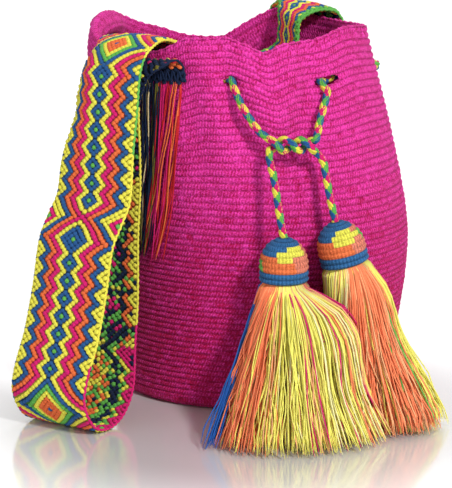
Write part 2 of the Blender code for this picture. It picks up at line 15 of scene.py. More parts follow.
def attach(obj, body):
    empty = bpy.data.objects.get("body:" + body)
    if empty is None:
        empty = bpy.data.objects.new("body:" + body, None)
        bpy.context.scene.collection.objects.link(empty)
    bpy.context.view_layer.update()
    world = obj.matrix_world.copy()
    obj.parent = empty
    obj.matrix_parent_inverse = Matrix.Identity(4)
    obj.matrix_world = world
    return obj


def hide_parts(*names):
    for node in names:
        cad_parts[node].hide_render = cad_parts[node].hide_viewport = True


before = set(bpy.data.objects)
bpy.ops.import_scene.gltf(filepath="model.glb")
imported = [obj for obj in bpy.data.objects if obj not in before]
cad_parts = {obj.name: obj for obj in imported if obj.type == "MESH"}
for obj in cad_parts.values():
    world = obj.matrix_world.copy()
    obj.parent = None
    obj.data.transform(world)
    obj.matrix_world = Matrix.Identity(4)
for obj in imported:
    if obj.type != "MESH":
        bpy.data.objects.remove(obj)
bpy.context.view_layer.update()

# The body, as in the solids
BODY_HEIGHT = 0.312
BASE_RADIUS = 0.118
BELLY_SHARE = 0.39
BELLY_HALF_WIDTH = 0.127
BELLY_HALF_DEPTH = 0.120
BELLY_SHIFT = 0.008
SHOULDER_SHARE = 0.65
SHOULDER_HALF_WIDTH = 0.124
SHOULDER_HALF_DEPTH = 0.118
MOUTH_HALF_WIDTH = 0.1195
MOUTH_HALF_DEPTH = 0.112
MOUTH_SHIFT = -0.0225
WALL = 0.0036
BASE_EDGE = 0.008
EYELET_DROP = 0.037
EYELET_HEIGHT = 0.0145
EYELET_AZIMUTHS = (-1.5, 38, 98, 120, 180, 202, 222, 248)
CORD_DIAMETER = 0.008
TWIST_RADIUS = 0.0049
TWIST_TURNS = 1.5
RIM_WAVE = (
    (-17, 0.003), (-7, 0.004), (0, 0.0045), (8, -0.0015), (14, -0.008), (23, -0.0025), (38, -0.001),
    (56, 0.006), (80, 0.001), (106, -0.005), (122, -0.0065), (140, -0.006), (157, -0.002),
    (166, -0.0085), (176, -0.019), (185, -0.028), (200, -0.026), (213, -0.017), (222, -0.012),
    (232, -0.004), (241, 0.0015), (260, 0.005), (275, 0.003), (288, -0.005), (299, -0.013),
    (315, -0.012), (329, -0.009), (335, -0.005), (340, 0))

# Gathers: azimuth at the eyelets, azimuth at the belly, bow between them, half width, depth
GATHERS = (
    (-2, 3, 0, 6, 0.006), (33, 20, -11, 7, 0.008), (-20, -20, 0, 7, 0.004), (11, 11, 0, 7, -0.002),
    (98, 100, 0, 7, 0.004), (120, 118, 0, 7, 0.004), (180, 180, 0, 7, 0.004),
    (202, 200, 0, 7, 0.004), (222, 224, 0, 7, 0.004), (248, 246, 0, 7, 0.004))
GATHER_FOOT = 0.30
CORNER_AZIMUTH = 262
CORNER_SPREAD = 24
CORNER_BULGE = 0.005
CORNER_FOOT = 0.80
CORNER_STEP = 0.13

# The strap: azimuth, distance outside, height share, heading of its width, rise of its right
# edge, bend across it, share of its width. At the back rim it is narrower and lies a little lower
# than in the solids
STRAP_WIDTH = 0.080
STRAP_THICKNESS = 0.004
STRAP_PATH = (
    (-37.5, 0.001, 0.887, 35.7, 0, 8.5, 1), (-37.5, 0.001, 0.926, 35.7, 0, 8.5, 1),
    (-37.9, 0.0055, 0.942, 36, 0, 4, 1), (-39, 0.013, 0.94, 36, 0, 0, 1),
    (-42.3, 0.017, 0.923, 37, 0, 1, 1), (-45.2, 0.0185, 0.905, 37, 0, 2, 1),
    (-48.4, 0.021, 0.868, 37, 0, 1, 1), (-50.6, 0.024, 0.82, 37, 0, 1, 1),
    (-53.4, 0.025, 0.71, 37, 0, 1, 1), (-55.8, 0.026, 0.6, 37, 0, 1, 1),
    (-57, 0.03, 0.465, 37, 0, 1, 1), (-56.5, 0.033, 0.3, 37, 0, 1, 1),
    (-53.3, 0.042, 0.17, 37, 0, 0.5, 1), (-48.2, 0.056, 0.075, 37, 0, 0, 1),
    (-45.5, 0.075, 0.018, 37, 0, 0, 1), (-44.1, 0.096, 0, 37, 0, 0, 1),
    (-43.5, 0.114, 0.018, 37, 0, 0, 1), (-43.5, 0.126, 0.083, 37, 0, 1, 1),
    (-43.8, 0.123, 0.15, 37, 0, 2, 1), (-43.7, 0.114, 0.243, 37, 0, 4, 1),
    (-44, 0.103, 0.368, 37, 0, 5, 1), (-44.3, 0.092, 0.487, 37, 0, 5, 1),
    (-43.6, 0.082, 0.548, 37, 0, 5, 1), (-43, 0.072, 0.602, 38, 0, 5, 1),
    (-42.8, 0.061, 0.718, 39, 0, 5, 1), (-42.3, 0.049, 0.82, 40, 1, 5, 1),
    (-42, 0.0355, 0.923, 42, 2, 5, 1), (-42.2, 0.022, 0.966, 45, 3, 4, 1),
    (-43, 0.005, 0.987, 49, 4, 4, 1), (-45.5, -0.015, 0.992, 51, 5, 3, 1),
    (-47.5, -0.033, 0.978, 51, 3, 2, 1), (-50.5, -0.054, 0.94, 49, 0, 1, 1),
    (-68, -0.086, 0.88, 46, 0, 1, 1), (-150, -0.1, 0.858, 46, 0, 1, 1),
    (156, -0.062, 0.862, 60, 0, 1, 0.86), (146, -0.0415, 0.89, 71, 0, 1, 0.72),
    (144.5, -0.035, 0.937, 72, 0, 2, 0.66), (143, -0.031, 0.983, 70, -3, 2, 0.66),
    (143.5, -0.019, 1.004, 61, -3, 2, 0.72), (145, -0.0045, 1.006, 51, -1, 3, 0.82),
    (146.5, 0.0085, 0.998, 42, 0, 6, 0.96), (147, 0.0105, 0.968, 35, 0, 8.5, 1),
    (147, 0.003, 0.934, 32, 0, 8.5, 1), (147, 0.001, 0.895, 31.4, 0, 8.5, 1))

# The drawstring's free stretches, as in the solids: azimuth, height, distance outside
LEFT_TAIL = (
    (6.7, 0.160, 0.031), (6.5, 0.171, 0.029), (6.5, 0.182, 0.026), (6.7, 0.194, 0.022),
    (6.8, 0.206, 0.018), (6.6, 0.216, 0.015))
RIGHT_TAIL = (
    (24.7, 0.173, 0.0225), (24.6, 0.183, 0.021), (24.9, 0.195, 0.019), (25.2, 0.206, 0.017),
    (25.4, 0.215, 0.0155))
LEFT_RUN = ((5, 0.241, 0.009), (3, 0.250, 0.0068), (1.2, 0.259, 0.0062))
RIGHT_RUN = ((27, 0.238, 0.009), (29.8, 0.247, 0.006), (33.2, 0.257, 0.004))
TWIST_LEFT = (7.6, 0.2300, 0.0128)
TWIST_RIGHT = (24.2, 0.2275, 0.0128)
TWIST_POINTS = 12
EYELET_STEP = 4.2
STEP_OUT = 0.9
PASS_CLEARANCE = 0.0027
OUTSIDE_CLEARANCE = 0.0012
CROSSING_RISE = 0.002
CROSSING_DROP = 0.4
CROSSING_OUT = 0.0055

# The tassels' caps and knots, as in the solids: azimuth, distance outside, height, tilt
LEFT_CAP = (6.2, 0.031, 0.116, 0)
RIGHT_CAP = (27.2, 0.025, 0.126, 13.5)
CAP_RADIUS = 0.020
CAP_HEIGHT = 0.041
CAP_WALL = 0.003
CAP_EDGE = 0.0045
NECK_INSIDE_CAP = 0.010
GAP = 0.0003
KNOT_RADIUS = 0.007
KNOT_SEAT = 0.002

# How far the strands reach from the cap's middle on the ground, by azimuth
LEFT_REACH = (
    (-180, 0.016), (-120, 0.030), (-80, 0.048), (-58, 0.066), (-42, 0.088), (-30, 0.108),
    (-15, 0.116), (5, 0.118), (20, 0.116), (31, 0.115), (45, 0.112), (60, 0.104), (72, 0.060),
    (92, 0.032), (130, 0.020))
RIGHT_REACH = (
    (-180, 0.014), (-90, 0.012), (-45, 0.020), (-8, 0.040), (8, 0.066), (20, 0.078), (32, 0.092),
    (45, 0.096), (62, 0.094), (76, 0.088), (95, 0.066), (130, 0.032))

# How the strands spread on their way down: share of the way out at shares of the way down, how
# much of it applies by azimuth, and locks of their own: number of strands, azimuths, reach, how
# much applies (less than 0 where they hang straight, turned by LOCK_TURN), place in STRAND_YARNS
SKIRT_BELL = {
    "left": ((0, 0), (0.07, 0.25), (0.14, 0.45), (0.31, 0.61), (0.48, 0.66), (0.66, 0.72),
             (0.83, 0.85), (1, 1)),
    "right": ((0, 0), (0.12, 0.21), (0.23, 0.31), (0.35, 0.36), (0.49, 0.46), (0.67, 0.68),
              (0.88, 0.93), (1, 1))}
SKIRT_KICK = {
    "left": ((-180, 0), (0, 0), (38, 1), (90, 1), (140, 0)),
    "right": ((-180, 0), (-10, 0.4), (45, 0.8), (120, 1), (160, 0))}
SKIRT_LOCKS = {
    "left": ((24, -41, -36, 0.112, -1, 4), (8, 56, 84, 0.096, 1, 3), (8, 50, 74, 0.100, 1, 2)),
    "right": ((4, 20, 60, 0.094, 0.5, 5),)}
SKIRT_STRANDS = 1350
STRAND_RADIUS = 0.00064
LOCK_TURN = 58
CLUMP_WIDTH = 4.5
CLUMP_PULL = 0.45
STRAND_ENDS = (0.0008, 0.0065)
STRAND_LOWEST = 0.0007

# The crochet: pitch of its rounds by height, its painted shade by height (the tint lowered towards the
# bottom and raised towards the top), its eyelets (half width, half height, turn from the azimuth of the
# cord) and how the rim curls in
ROUND_PITCHES = ((0, 0.0046), (0.125, 0.0046), (0.165, 0.0056), (0.33, 0.0056))
STITCHES = 143
STITCH_RELIEF = 0.0020
STEPS_PER_ROUND = 5
ROUNDS_COUNTED = 400
PAINTED_SHADE_LOWEST = -3.8
PAINTED_SHADE_RISE = 4.6
PAINTED_SHADE_FROM = 0.02
PAINTED_SHADE_OVER = 0.24
SMALLEST_ROUND = 0.0008
DECORATED_ROUNDS = (22, 41)
FIRST_HOLE = (0.0050, 0.0030, 0)
OTHER_HOLES = (0.0105, 0.0026, 3)
HOLE_RISE = 0.001
WALL_RADIUS = 0.115
CURL_SPREAD = 26
CURL_HEIGHT = 0.030
CURL_REACH = 0.003
CURL_DROP = 0.001
CURL_LUMP = 0.016
CURL_LUMP_DROP = 0.011

# The braid: length of its repeat and of a stitch, how far its strands are from the centre, and
# where the stitches of each column start and end round the cord, with the column's two yarns
BRAID_PITCH = 0.0176
BRAID_STITCH = 0.0122
BRAID_SHORTEST = 0.003
BRAID_REACH = 0.0022
BRAID_HALF_WIDTH = 0.0024
BRAID_COLUMNS = ((105, -6, 0), (-105, 6, 2), (78, 187, 2), (-78, -187, 0))

# The weave, whose pattern is counted down the front strand from the crest, CREST_ROW rows from
# the strap's first end. Its left edge rolls in and back near the crest and, lower down, tucks in
# behind. Then the cloth under the knots, the knots, the edging and the sewing yarn
COLUMNS = 23
ROW_PITCH = 0.00245
CREST_ROW = 291
BIG_DIAMONDS = (-127, 1, 129, 243)
BIG_DIAMOND_ROWS = 11
SELVAGE = 0.005
ROLL_START = (-8, 6)
ROLL_END = (22, 50)
ROLL_IN = 0.007
ROLL_BACK = 0.009
BEHIND_START = (195, 235)
BEHIND_IN = 0.013
ROLLED_EDGE = (0.004, 0.040)
CLOTH_MARGIN = 0.004
CLOTH_LEVEL = 0.0009
KNOT_LEVEL = 0.0007
KNOT_RISE = 0.0017
KNOT_RINGS = ((1.08, -0.30), (0.80, 0.70))
EDGING_INSET = 0.0018
EDGING_RADIUS = 0.0011
EDGING_WAVE = 0.0003
EDGING_LOWEST = 0.0012
SEAM_STITCHES = 15
SEAM_MARGIN = 0.006
SEAM_LEVEL = 0.0024
SEAM_RADIUS = 0.0008

# Places of the yarns in WEAVE_YARNS
YELLOW, ORANGE, PINK, BLUE, GREEN, NAVY, OLIVE, RED = range(8)

# The fringes
FRINGE_LENGTH = 0.158
FRINGE_STRANDS = 120
FRINGE_RADIUS = 0.00068
FRINGE_RISE = 0.0015
FRINGE_OFF = 0.0028
FRINGE_LAYERS = (0.0012, 0.0055)
FRINGE_SWELL = 0.0012

# Yarns across each fringe, by their places in FRINGE_YARNS. The navy and olive ends are painted shade: the
# strap's blue, green and yellow yarns as they look in its shade
LEFT_FRINGE = (2, 0, 5, 0, 0, 1, 0, 0, 6, 0, 1, 0, 4, 0, 0, 1, 0, 2, 3, 3, 2, 3, 5, 2)
RIGHT_FRINGE = (0, 1, 3, 2, 0, 5, 3, 0, 1, 2)

# The caps' stitches, the patches of both caps and those of each: azimuths, levels, place in
# CAP_YARNS
CAP_COLUMNS = 84
CAP_ROUNDS = 9
CAP_STITCHES = 20
CAP_STITCH_SHIFT = 0.37
CAP_RELIEF = 0.0022
CAP_SALMON_FROM = 24
COMMON_PATCHES = ((-181, 181, 0, 0.22, 0), (-181, 181, 0.78, 1.1, 0), (140, 181, 0.4, 0.7, 2))
CAP_PATCHES = {
    "left": ((-181, 8, 0.55, 1.1, 0), (-10, 24, 0.45, 0.55, 2), (-16, 64, 0.55, 0.66, 2),
             (8, 64, 0.66, 0.78, 2), (-90, -62, 0.22, 0.45, 3)),
    "right": ((-181, -6, 0.55, 1.1, 0), (-14, 30, 0.45, 0.55, 2), (-14, 64, 0.55, 0.66, 2),
              (-4, 40, 0.66, 0.78, 2), (66, 100, 0.45, 0.66, 3))}

# Colours, linear: the body, the yarns of the strap and the cord, and those of the tassels
MAGENTA = (0.70, 0.014, 0.270)
# Painted shade: the darker magenta mixed into the grooves between the body's rounds
GROOVE_SHADE_MAGENTA = (0.22, 0.002, 0.035)
# MAGENTA_SHADES: the dark end is redder, for the body in shade, the light end pinker, for where it is lit;
# random dye and the painted shade by height mix between them
MAGENTA_SHADES = ((0.42, 0.002, 0.062), (0.95, 0.060, 0.50))
WHITE = (1.0, 1.0, 1.0, 1.0)
YARNS = {
    "yellow": (0.92, 0.78, 0.085), "orange": (0.92, 0.170, 0.050), "pink": (0.68, 0.016, 0.170),
    "blue": (0.024, 0.105, 0.300), "green": (0.130, 0.470, 0.085), "navy": (0.008, 0.018, 0.055),
    "olive": (0.150, 0.130, 0.020), "cream": (0.820, 0.640, 0.330), "red": (0.600, 0.020, 0.030)}
CORD_YARNS = ("yellow", "blue", "green", "pink")
WEAVE_YARNS = ("yellow", "orange", "pink", "blue", "green", "navy", "olive", "red")
FRINGE_YARNS = ("navy", "olive", "red", "pink", "cream", "orange", "green")
CAP_YARNS = {
    "blue": (0.020, 0.125, 0.320), "orange": YARNS["orange"], "yellow": YARNS["yellow"],
    "green": YARNS["green"], "salmon": (0.75, 0.220, 0.140)}
STRAND_YARNS = {
    "orange": (1.0, 0.250, 0.110), "yellow": (1.0, 0.87, 0.18), "peach": (0.98, 0.45, 0.22),
    "pink": YARNS["pink"], "blue": (0.02, 0.11, 0.42), "green": YARNS["green"],
    "cream": (0.96, 0.86, 0.42)}

# The camera, the lamps (name, place, point looked at, size, power), the table and its painted glow
VIEW_TARGET = Vector((-0.0226, 0.0, 0.118))
VIEW_ELEVATION = math.radians(12.6)
VIEW_DISTANCE = 2.757
VIEW_LENS = 233.8
LAMPS = (
    ("key", (1.2, -2.15, 1.9), (0, 0, 0.14), 0.36, 62),
    ("fill", (-1.8, -1.6, 1.1), (0, 0, 0.14), 1.6, 9),
    ("back", (0.3, 1.6, 1.9), (0, 0, 0.2), 1.2, 16))
TABLE_HALF_SIZE = 6.0
TABLE_DROP = 0.0004
# Painted glow on the table that only the camera sees: none within GLOW_START of GLOW_CENTRE, GLOW_STRENGTH
# beyond GLOW_FULL, so the floor near the bag stays darker
GLOW_CENTRE = (0.0, -0.12, 0.0)
GLOW_START = 0.16
GLOW_FULL = 0.30
GLOW_STRENGTH = 0.34
WORLD_STRENGTH = 0.45


# Shape of the bag's wall

def smoothstep(value):
    """Ease from 0 to 1."""
    value = np.clip(value, 0.0, 1.0)
    return value * value * (3 - 2 * value)


def ramp(value, limits):
    """Ease from 0 to 1 between two limits."""
    return smoothstep((value - limits[0]) / (limits[1] - limits[0]))


def curve_at(stations, where):
    """Values on the smooth curve through rows of (position, values...), at an array of positions."""
    table = np.asarray(stations, dtype=float)
    at, values = table[:, 0], table[:, 1:]
    count = len(at)
    before = np.maximum(np.arange(count) - 1, 0)
    after = np.minimum(np.arange(count) + 1, count - 1)
    slopes = (values[after] - values[before]) / (at[after] - at[before])[:, None]
    where = np.clip(np.asarray(where, dtype=float), at[0], at[-1])
    first = np.clip(np.searchsorted(at, where, side="right") - 1, 0, count - 2)
    span = (at[first + 1] - at[first])[..., None]
    u = (where - at[first])[..., None] / span
    return (values[first] * (1 + 2 * u) * (1 - u) ** 2 + slopes[first] * span * u * (1 - u) ** 2
            + values[first + 1] * u * u * (3 - 2 * u)
            + slopes[first + 1] * span * u * u * (u - 1))


def section(height):
    """Sideways shift, half width and half depth of the body at heights, on the last axis."""
    stations = (
        (0.0, 0.0, BASE_RADIUS, BASE_RADIUS),
        (BELLY_SHARE, BELLY_SHIFT, BELLY_HALF_WIDTH, BELLY_HALF_DEPTH),
        (SHOULDER_SHARE, 0.0, SHOULDER_HALF_WIDTH, SHOULDER_HALF_DEPTH),
        (1.0, MOUTH_SHIFT, MOUTH_HALF_WIDTH, MOUTH_HALF_DEPTH))
    return curve_at(stations, np.asarray(height) / BODY_HEIGHT)


def rim_lift(azimuth):
    """Height of the rim above BODY_HEIGHT."""
    first = RIM_WAVE[0][0]
    wrapped = (np.asarray(azimuth) - first) % 360 + first
    last = (RIM_WAVE[-1][0] - 360, RIM_WAVE[-1][1])
    again = [(a + 360, lift) for a, lift in RIM_WAVE[:2]]
    return curve_at([last, *RIM_WAVE, *again], wrapped)[..., 0]


def wave_at(azimuth, height):
    """How far the rim's wave moves points of the wall up or down."""
    return rim_lift(azimuth) * smoothstep((np.asarray(height) / BODY_HEIGHT - 0.5) / 0.5)


def turn_between(azimuth, centre):
    """Signed angle from centre to azimuth."""
    return (azimuth - centre + 180) % 360 - 180


def gather_depth(azimuth, height):
    """How far the gathers draw the wall in; less than 0 where it stands proud."""
    azimuth = np.asarray(azimuth, dtype=float)
    share = np.asarray(height) / BODY_HEIGHT
    eyelets = 1 - EYELET_DROP / BODY_HEIGHT
    rise = np.clip((share - GATHER_FOOT) / (eyelets - GATHER_FOOT), 0.0, 1.0)
    strength = smoothstep(rise) * (1 - 0.5 * smoothstep((share - eyelets) / (1 - eyelets)))
    depth = 0.0
    for top, low, bow, spread, amount in GATHERS:
        valley = low + (top - low) * rise + bow * 4 * rise * (1 - rise)
        depth = depth + amount * np.exp(-(turn_between(azimuth, valley) / spread) ** 2)
    corner = np.exp(-(turn_between(azimuth, CORNER_AZIMUTH) / CORNER_SPREAD) ** 2)
    swell = np.sin(np.clip((share - CORNER_FOOT) / CORNER_STEP, 0.0, 2.0) * math.pi * 0.75)
    return depth * strength - CORNER_BULGE * corner * swell


def outward(azimuth):
    """Level directions away from the body."""
    angle = np.radians(azimuth)
    return np.stack([np.sin(angle), -np.cos(angle), np.zeros_like(angle)], axis=-1)


def wall_point(azimuth, height, outside=0.0, gathered=False):
    """Points at a distance outside the body's wall."""
    azimuth = np.asarray(azimuth, dtype=float)
    height = np.asarray(height, dtype=float) + 0.0 * azimuth
    sizes = section(height)
    outside = np.asarray(outside, dtype=float) + 0.0 * height
    if gathered:
        outside = outside - gather_depth(azimuth, height)
    angle = np.radians(azimuth)
    return np.stack([sizes[..., 0] + (sizes[..., 1] + outside) * np.sin(angle),
                     -(sizes[..., 2] + outside) * np.cos(angle), height], axis=-1)


def normalized(vectors):
    """Vectors of length 1 along the last axis."""
    return vectors / np.maximum(np.linalg.norm(vectors, axis=-1, keepdims=True), 1e-12)


def run_along(*columns):
    """Length along a line up to each of its points, from its coordinates."""
    steps = [np.diff(column) for column in columns]
    return np.concatenate([[0.0], np.cumsum(np.sqrt(sum(step * step for step in steps)))])


def between(where, run, points):
    """Points on straight lines between points, at lengths along them."""
    return np.stack([np.interp(where, run, points[:, axis]) for axis in range(3)], axis=-1)


# Objects

def add_object(name, data):
    """Object in the scene with its data."""
    thing = bpy.data.objects.new(name, data)
    bpy.context.scene.collection.objects.link(thing)
    return thing


def add_mesh(name, points, faces, finishes, face_finish=None, values=None):
    """Object from arrays: points, a list of face arrays, materials and a value for each point."""
    mesh = bpy.data.meshes.new(name)
    points = np.asarray(points, dtype=np.float32).reshape(-1, 3)
    faces = [np.asarray(part, dtype=np.int32) for part in faces if len(part)]
    totals = np.concatenate([np.full(len(part), part.shape[1], dtype=np.int32) for part in faces])
    corners = np.concatenate([part.ravel() for part in faces])
    mesh.vertices.add(len(points))
    mesh.vertices.foreach_set("co", points.ravel())
    mesh.loops.add(len(corners))
    mesh.loops.foreach_set("vertex_index", corners)
    mesh.polygons.add(len(totals))
    starts = np.concatenate([[0], np.cumsum(totals)[:-1]]).astype(np.int32)
    mesh.polygons.foreach_set("loop_start", starts)
    mesh.polygons.foreach_set("loop_total", totals)
    for finish in finishes:
        mesh.materials.append(finish)
    if face_finish is not None:
        mesh.polygons.foreach_set("material_index", np.asarray(face_finish, dtype=np.int32))
    mesh.update(calc_edges=True)
    mesh.validate()
    mesh.shade_smooth()
    for label, numbers in (values or {}).items():
        attribute = mesh.attributes.new(label, "FLOAT", "POINT")
        attribute.data.foreach_set("value", np.asarray(numbers, dtype=np.float32).ravel())
    return add_object(name, mesh)


def grid_faces(rows, columns, wrap=False):
    """Quads of a grid of points, row after row."""
    row = np.arange(rows - 1)[:, None]
    column = np.arange(columns if wrap else columns - 1)[None, :]
    following = (column + 1) % columns
    quads = np.stack([row * columns + column, row * columns + following,
                      (row + 1) * columns + following, (row + 1) * columns + column], axis=-1)
    return quads.reshape(-1, 4)


def tubes(paths, radius, sides, reference, flat=1.0):
    """Points and quads of tubes along paths (strand, point, 3), with pointed closed ends."""
    paths = np.asarray(paths, dtype=float)
    strands, count = paths.shape[:2]
    tangent = normalized(np.gradient(paths, axis=1))
    side = normalized(np.cross(tangent, np.broadcast_to(reference, paths.shape)))
    other = np.cross(side, tangent)
    angle = np.arange(sides) * math.tau / sides
    radius = np.broadcast_to(np.asarray(radius, dtype=float), (strands, count)).copy()
    radius[:, 0] *= 0.3
    radius[:, -1] *= 0.3
    ring = (side[:, :, None] * np.cos(angle)[None, None, :, None]
            + other[:, :, None] * flat * np.sin(angle)[None, None, :, None])
    points = paths[:, :, None] + ring * radius[:, :, None, None]
    quads = grid_faces(count, sides, wrap=True)[None] + (np.arange(strands) * count * sides)[:, None, None]
    return points.reshape(-1, 3), quads.reshape(-1, 4)[:, ::-1]


def carried(piece, finish_slot, *nodes):
    """Ride on the bag and stand for the soft solids; finish_slot is not used."""
    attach(piece, "root")
    if nodes:
        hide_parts(*nodes)


# Materials

def add_node(tree, kind, inputs=None, **settings):
    """Shader node with its settings, and inputs that are values or sockets to link from."""
    node = tree.nodes.new("ShaderNode" + kind)
    for name, value in settings.items():
        setattr(node, name, value)
    for name, value in (inputs or {}).items():
        if isinstance(value, bpy.types.NodeSocket):
            tree.links.new(value, node.inputs[name])
        else:
            node.inputs[name].default_value = value
    return node


def math_node(tree, operation, *inputs):
    """Output of a Math node."""
    return add_node(tree, "Math", dict(enumerate(inputs)), operation=operation).outputs["Value"]


def blend(tree, factor, first, second):
    """Output of a node that mixes two colours."""
    inputs = {"Factor": factor, "A": first, "B": second}
    return add_node(tree, "Mix", inputs, data_type="RGBA").outputs["Result"]


def new_finish(name, **looks):
    """New material with its shader's values set, its node tree and that shader."""
    finish = bpy.data.materials.new(name)
    finish.use_nodes = True
    shader = finish.node_tree.nodes["Principled BSDF"]
    for label, value in looks.items():
        shader.inputs[label.replace("_", " ")].default_value = value
    return finish, finish.node_tree, shader


def shades_of(colour, dark, light, lift=0.0):
    """Darkest and lightest shade of a dyed yarn."""
    return [c * dark for c in colour], [min(c * light + lift, 1) for c in colour]


def yarn(name, colour, fibre=850, patch=90, bump=0.0007, groove_shade=None, shades=None, contrast=2.2):
    """Matte yarn with fine fibres, uneven dye and, on stitched cloth, marks, a tint by stitch (on the body
    also painted shade by height) and painted shade in the grooves.
    """
    finish, tree, shader = new_finish(
        name, Roughness=0.88, Specular_IOR_Level=0.18, Sheen_Weight=0.15, Sheen_Roughness=0.45,
        Sheen_Tint=(*[0.25 + 0.75 * channel for channel in colour], 1.0))
    place = add_node(tree, "TexCoord").outputs["Object"]
    dye = add_node(tree, "TexNoise", {"Vector": place, "Scale": patch, "Detail": 3.0}).outputs["Fac"]
    fibres = add_node(tree, "TexNoise", {"Vector": place, "Scale": fibre, "Detail": 4.0,
                                         "Roughness": 0.7}).outputs["Fac"]
    factor = math_node(tree, "MULTIPLY_ADD", dye, 0.3, 0.35 - 0.5 * contrast)
    factor = math_node(tree, "MULTIPLY_ADD", fibres, contrast, factor)
    height = fibres
    if groove_shade is not None:
        slant, tint, depth = (add_node(tree, "Attribute", attribute_name=label).outputs["Fac"]
                              for label in ("slant", "tint", "groove_shade"))
        wander = math_node(tree, "MULTIPLY", dye, 3.0)
        marks = math_node(tree, "SINE", math_node(tree, "MULTIPLY_ADD", slant, math.tau, wander))
        # The tint: random by stitch, and on the body also painted shade by height
        factor = math_node(tree, "MULTIPLY_ADD", tint, 0.10, factor)
        factor = math_node(tree, "MULTIPLY_ADD", marks, 0.20, factor)
        height = math_node(tree, "MULTIPLY_ADD", marks, 0.30, fibres)
    dark, light = shades or shades_of(colour, 0.66, 1.25)
    result = blend(tree, factor, (*dark, 1.0), (*light, 1.0))
    # Painted shade in the grooves, mixed over the dyed colour by the groove attribute
    if groove_shade is not None:
        result = blend(tree, depth, result, (*groove_shade, 1.0))
    tree.links.new(result, shader.inputs["Base Color"])
    relief = add_node(tree, "Bump", {"Strength": 0.7, "Distance": bump, "Height": height})
    tree.links.new(relief.outputs["Normal"], shader.inputs["Normal"])
    return finish


def floor_finish():
    """White, slightly glossy table top, with a painted glow that only the camera sees: none near the bag,
    up to GLOW_STRENGTH away from it, so that the floor away from the bag looks white.
    """
    finish, tree, shader = new_finish("white_table", Base_Color=(0.80, 0.80, 0.80, 1.0),
                                      Metallic=0.30, Roughness=0.13)
    place = add_node(tree, "TexCoord").outputs["Object"]
    away = add_node(tree, "VectorMath", {0: place, 1: GLOW_CENTRE}, operation="DISTANCE")
    distant = add_node(tree, "MapRange", {"Value": away.outputs["Value"], "From Min": GLOW_START,
                                          "From Max": GLOW_FULL, "To Max": GLOW_STRENGTH},
                       interpolation_type="SMOOTHSTEP")
    seen = add_node(tree, "LightPath").outputs["Is Camera Ray"]
    strength = math_node(tree, "MULTIPLY", seen, distant.outputs["Result"])
    glow = add_node(tree, "Emission", {"Color": WHITE, "Strength": strength})
    both = add_node(tree, "AddShader", {0: shader.outputs["BSDF"], 1: glow.outputs["Emission"]})
    tree.links.new(both.outputs["Shader"], tree.nodes["Material Output"].inputs["Surface"])
    return finish


def light_world():
    """White room that the camera sees at full white and that lights the bag less."""
    world = bpy.data.worlds.new("white_room")
    bpy.context.scene.world = world
    world.use_nodes = True
    tree = world.node_tree
    rays = add_node(tree, "LightPath").outputs
    seen = math_node(tree, "MAXIMUM", rays["Is Camera Ray"], rays["Is Glossy Ray"])
    seen = math_node(tree, "MAXIMUM", seen, rays["Is Transmission Ray"])
    strength = add_node(tree, "MapRange", {"Value": seen, "To Min": WORLD_STRENGTH, "To Max": 1.0})
    background = tree.nodes["Background"]
    background.inputs["Color"].default_value = WHITE
    tree.links.new(strength.outputs["Result"], background.inputs["Strength"])


# Camera

def add_camera():
    """Camera at the photograph's angle and distance."""
    data = bpy.data.cameras.new("camera")
    data.lens = VIEW_LENS
    data.sensor_width = 36.0
    data.clip_end = 30.0
    camera = add_object("camera", data)
    direction = Vector((0.0, -math.cos(VIEW_ELEVATION), math.sin(VIEW_ELEVATION)))
    camera.location = VIEW_TARGET + direction * VIEW_DISTANCE
    camera.rotation_euler = (math.pi / 2 - VIEW_ELEVATION, 0.0, 0.0)
    bpy.context.scene.camera = camera


# Drawstring

def eyelet_height(azimuth):
    """Height of the eyelets' middle."""
    level = BODY_HEIGHT - EYELET_DROP
    return level + float(wave_at(azimuth, level))


def cap_frame(cap):
    """Matrix of a tassel: origin at the cap's lower edge, +Z up through the cap."""
    azimuth, outside, height, tilt = cap
    return (Matrix.Translation(Vector(wall_point(azimuth, height, outside)))
            @ Matrix.Rotation(math.radians(-tilt), 4, "Y"))


def twist_point(share, phase):
    """Point of one cord where the two wind round each other."""
    azimuth, height, outside = (a + (b - a) * share for a, b in zip(TWIST_LEFT, TWIST_RIGHT))
    angle = phase + share * TWIST_TURNS * math.tau
    return (wall_point(azimuth, height, outside)
            + np.array((0.0, 0.0, TWIST_RADIUS * math.cos(angle)))
            + outward(azimuth) * TWIST_RADIUS * math.sin(angle))


def eyelet_crossing(azimuth, turn):
    """The cord's points from inside an eyelet at the front to just outside it."""
    height = eyelet_height(azimuth)
    inside = -(WALL + CORD_DIAMETER / 2 + PASS_CLEARANCE)
    return [wall_point(azimuth - turn * EYELET_STEP, height, inside, gathered=True),
            wall_point(azimuth, height + CROSSING_RISE, -WALL / 2, gathered=True),
            wall_point(azimuth + turn * STEP_OUT, height - EYELET_HEIGHT * CROSSING_DROP,
                       CROSSING_OUT, gathered=True)]


def free_cords():
    """Routes of the drawstring's two free ends, each from its eyelet to its tassel."""
    knot_top = NECK_INSIDE_CAP + 2 * GAP + 2 * KNOT_RADIUS + KNOT_SEAT
    shares = np.linspace(0.0, 1.0, TWIST_POINTS)
    upper = [twist_point(share, 0.0) for share in shares]
    lower = [twist_point(share, math.pi) for share in shares][::-1]
    routes = []
    for start, turn, run, middle, tail, cap in (
            (EYELET_AZIMUTHS[0], 1, LEFT_RUN[::-1], upper, RIGHT_TAIL[::-1], RIGHT_CAP),
            (EYELET_AZIMUTHS[1], -1, RIGHT_RUN[::-1], lower, LEFT_TAIL[::-1], LEFT_CAP)):
        matrix = cap_frame(cap)
        route = eyelet_crossing(start, turn)
        route += [wall_point(*place) for place in run] + middle
        route += [wall_point(*place) for place in tail]
        route += [np.array(matrix @ Vector((0.0, 0.0, height))) for height in (CAP_HEIGHT, knot_top)]
        routes.append(route)
    return routes


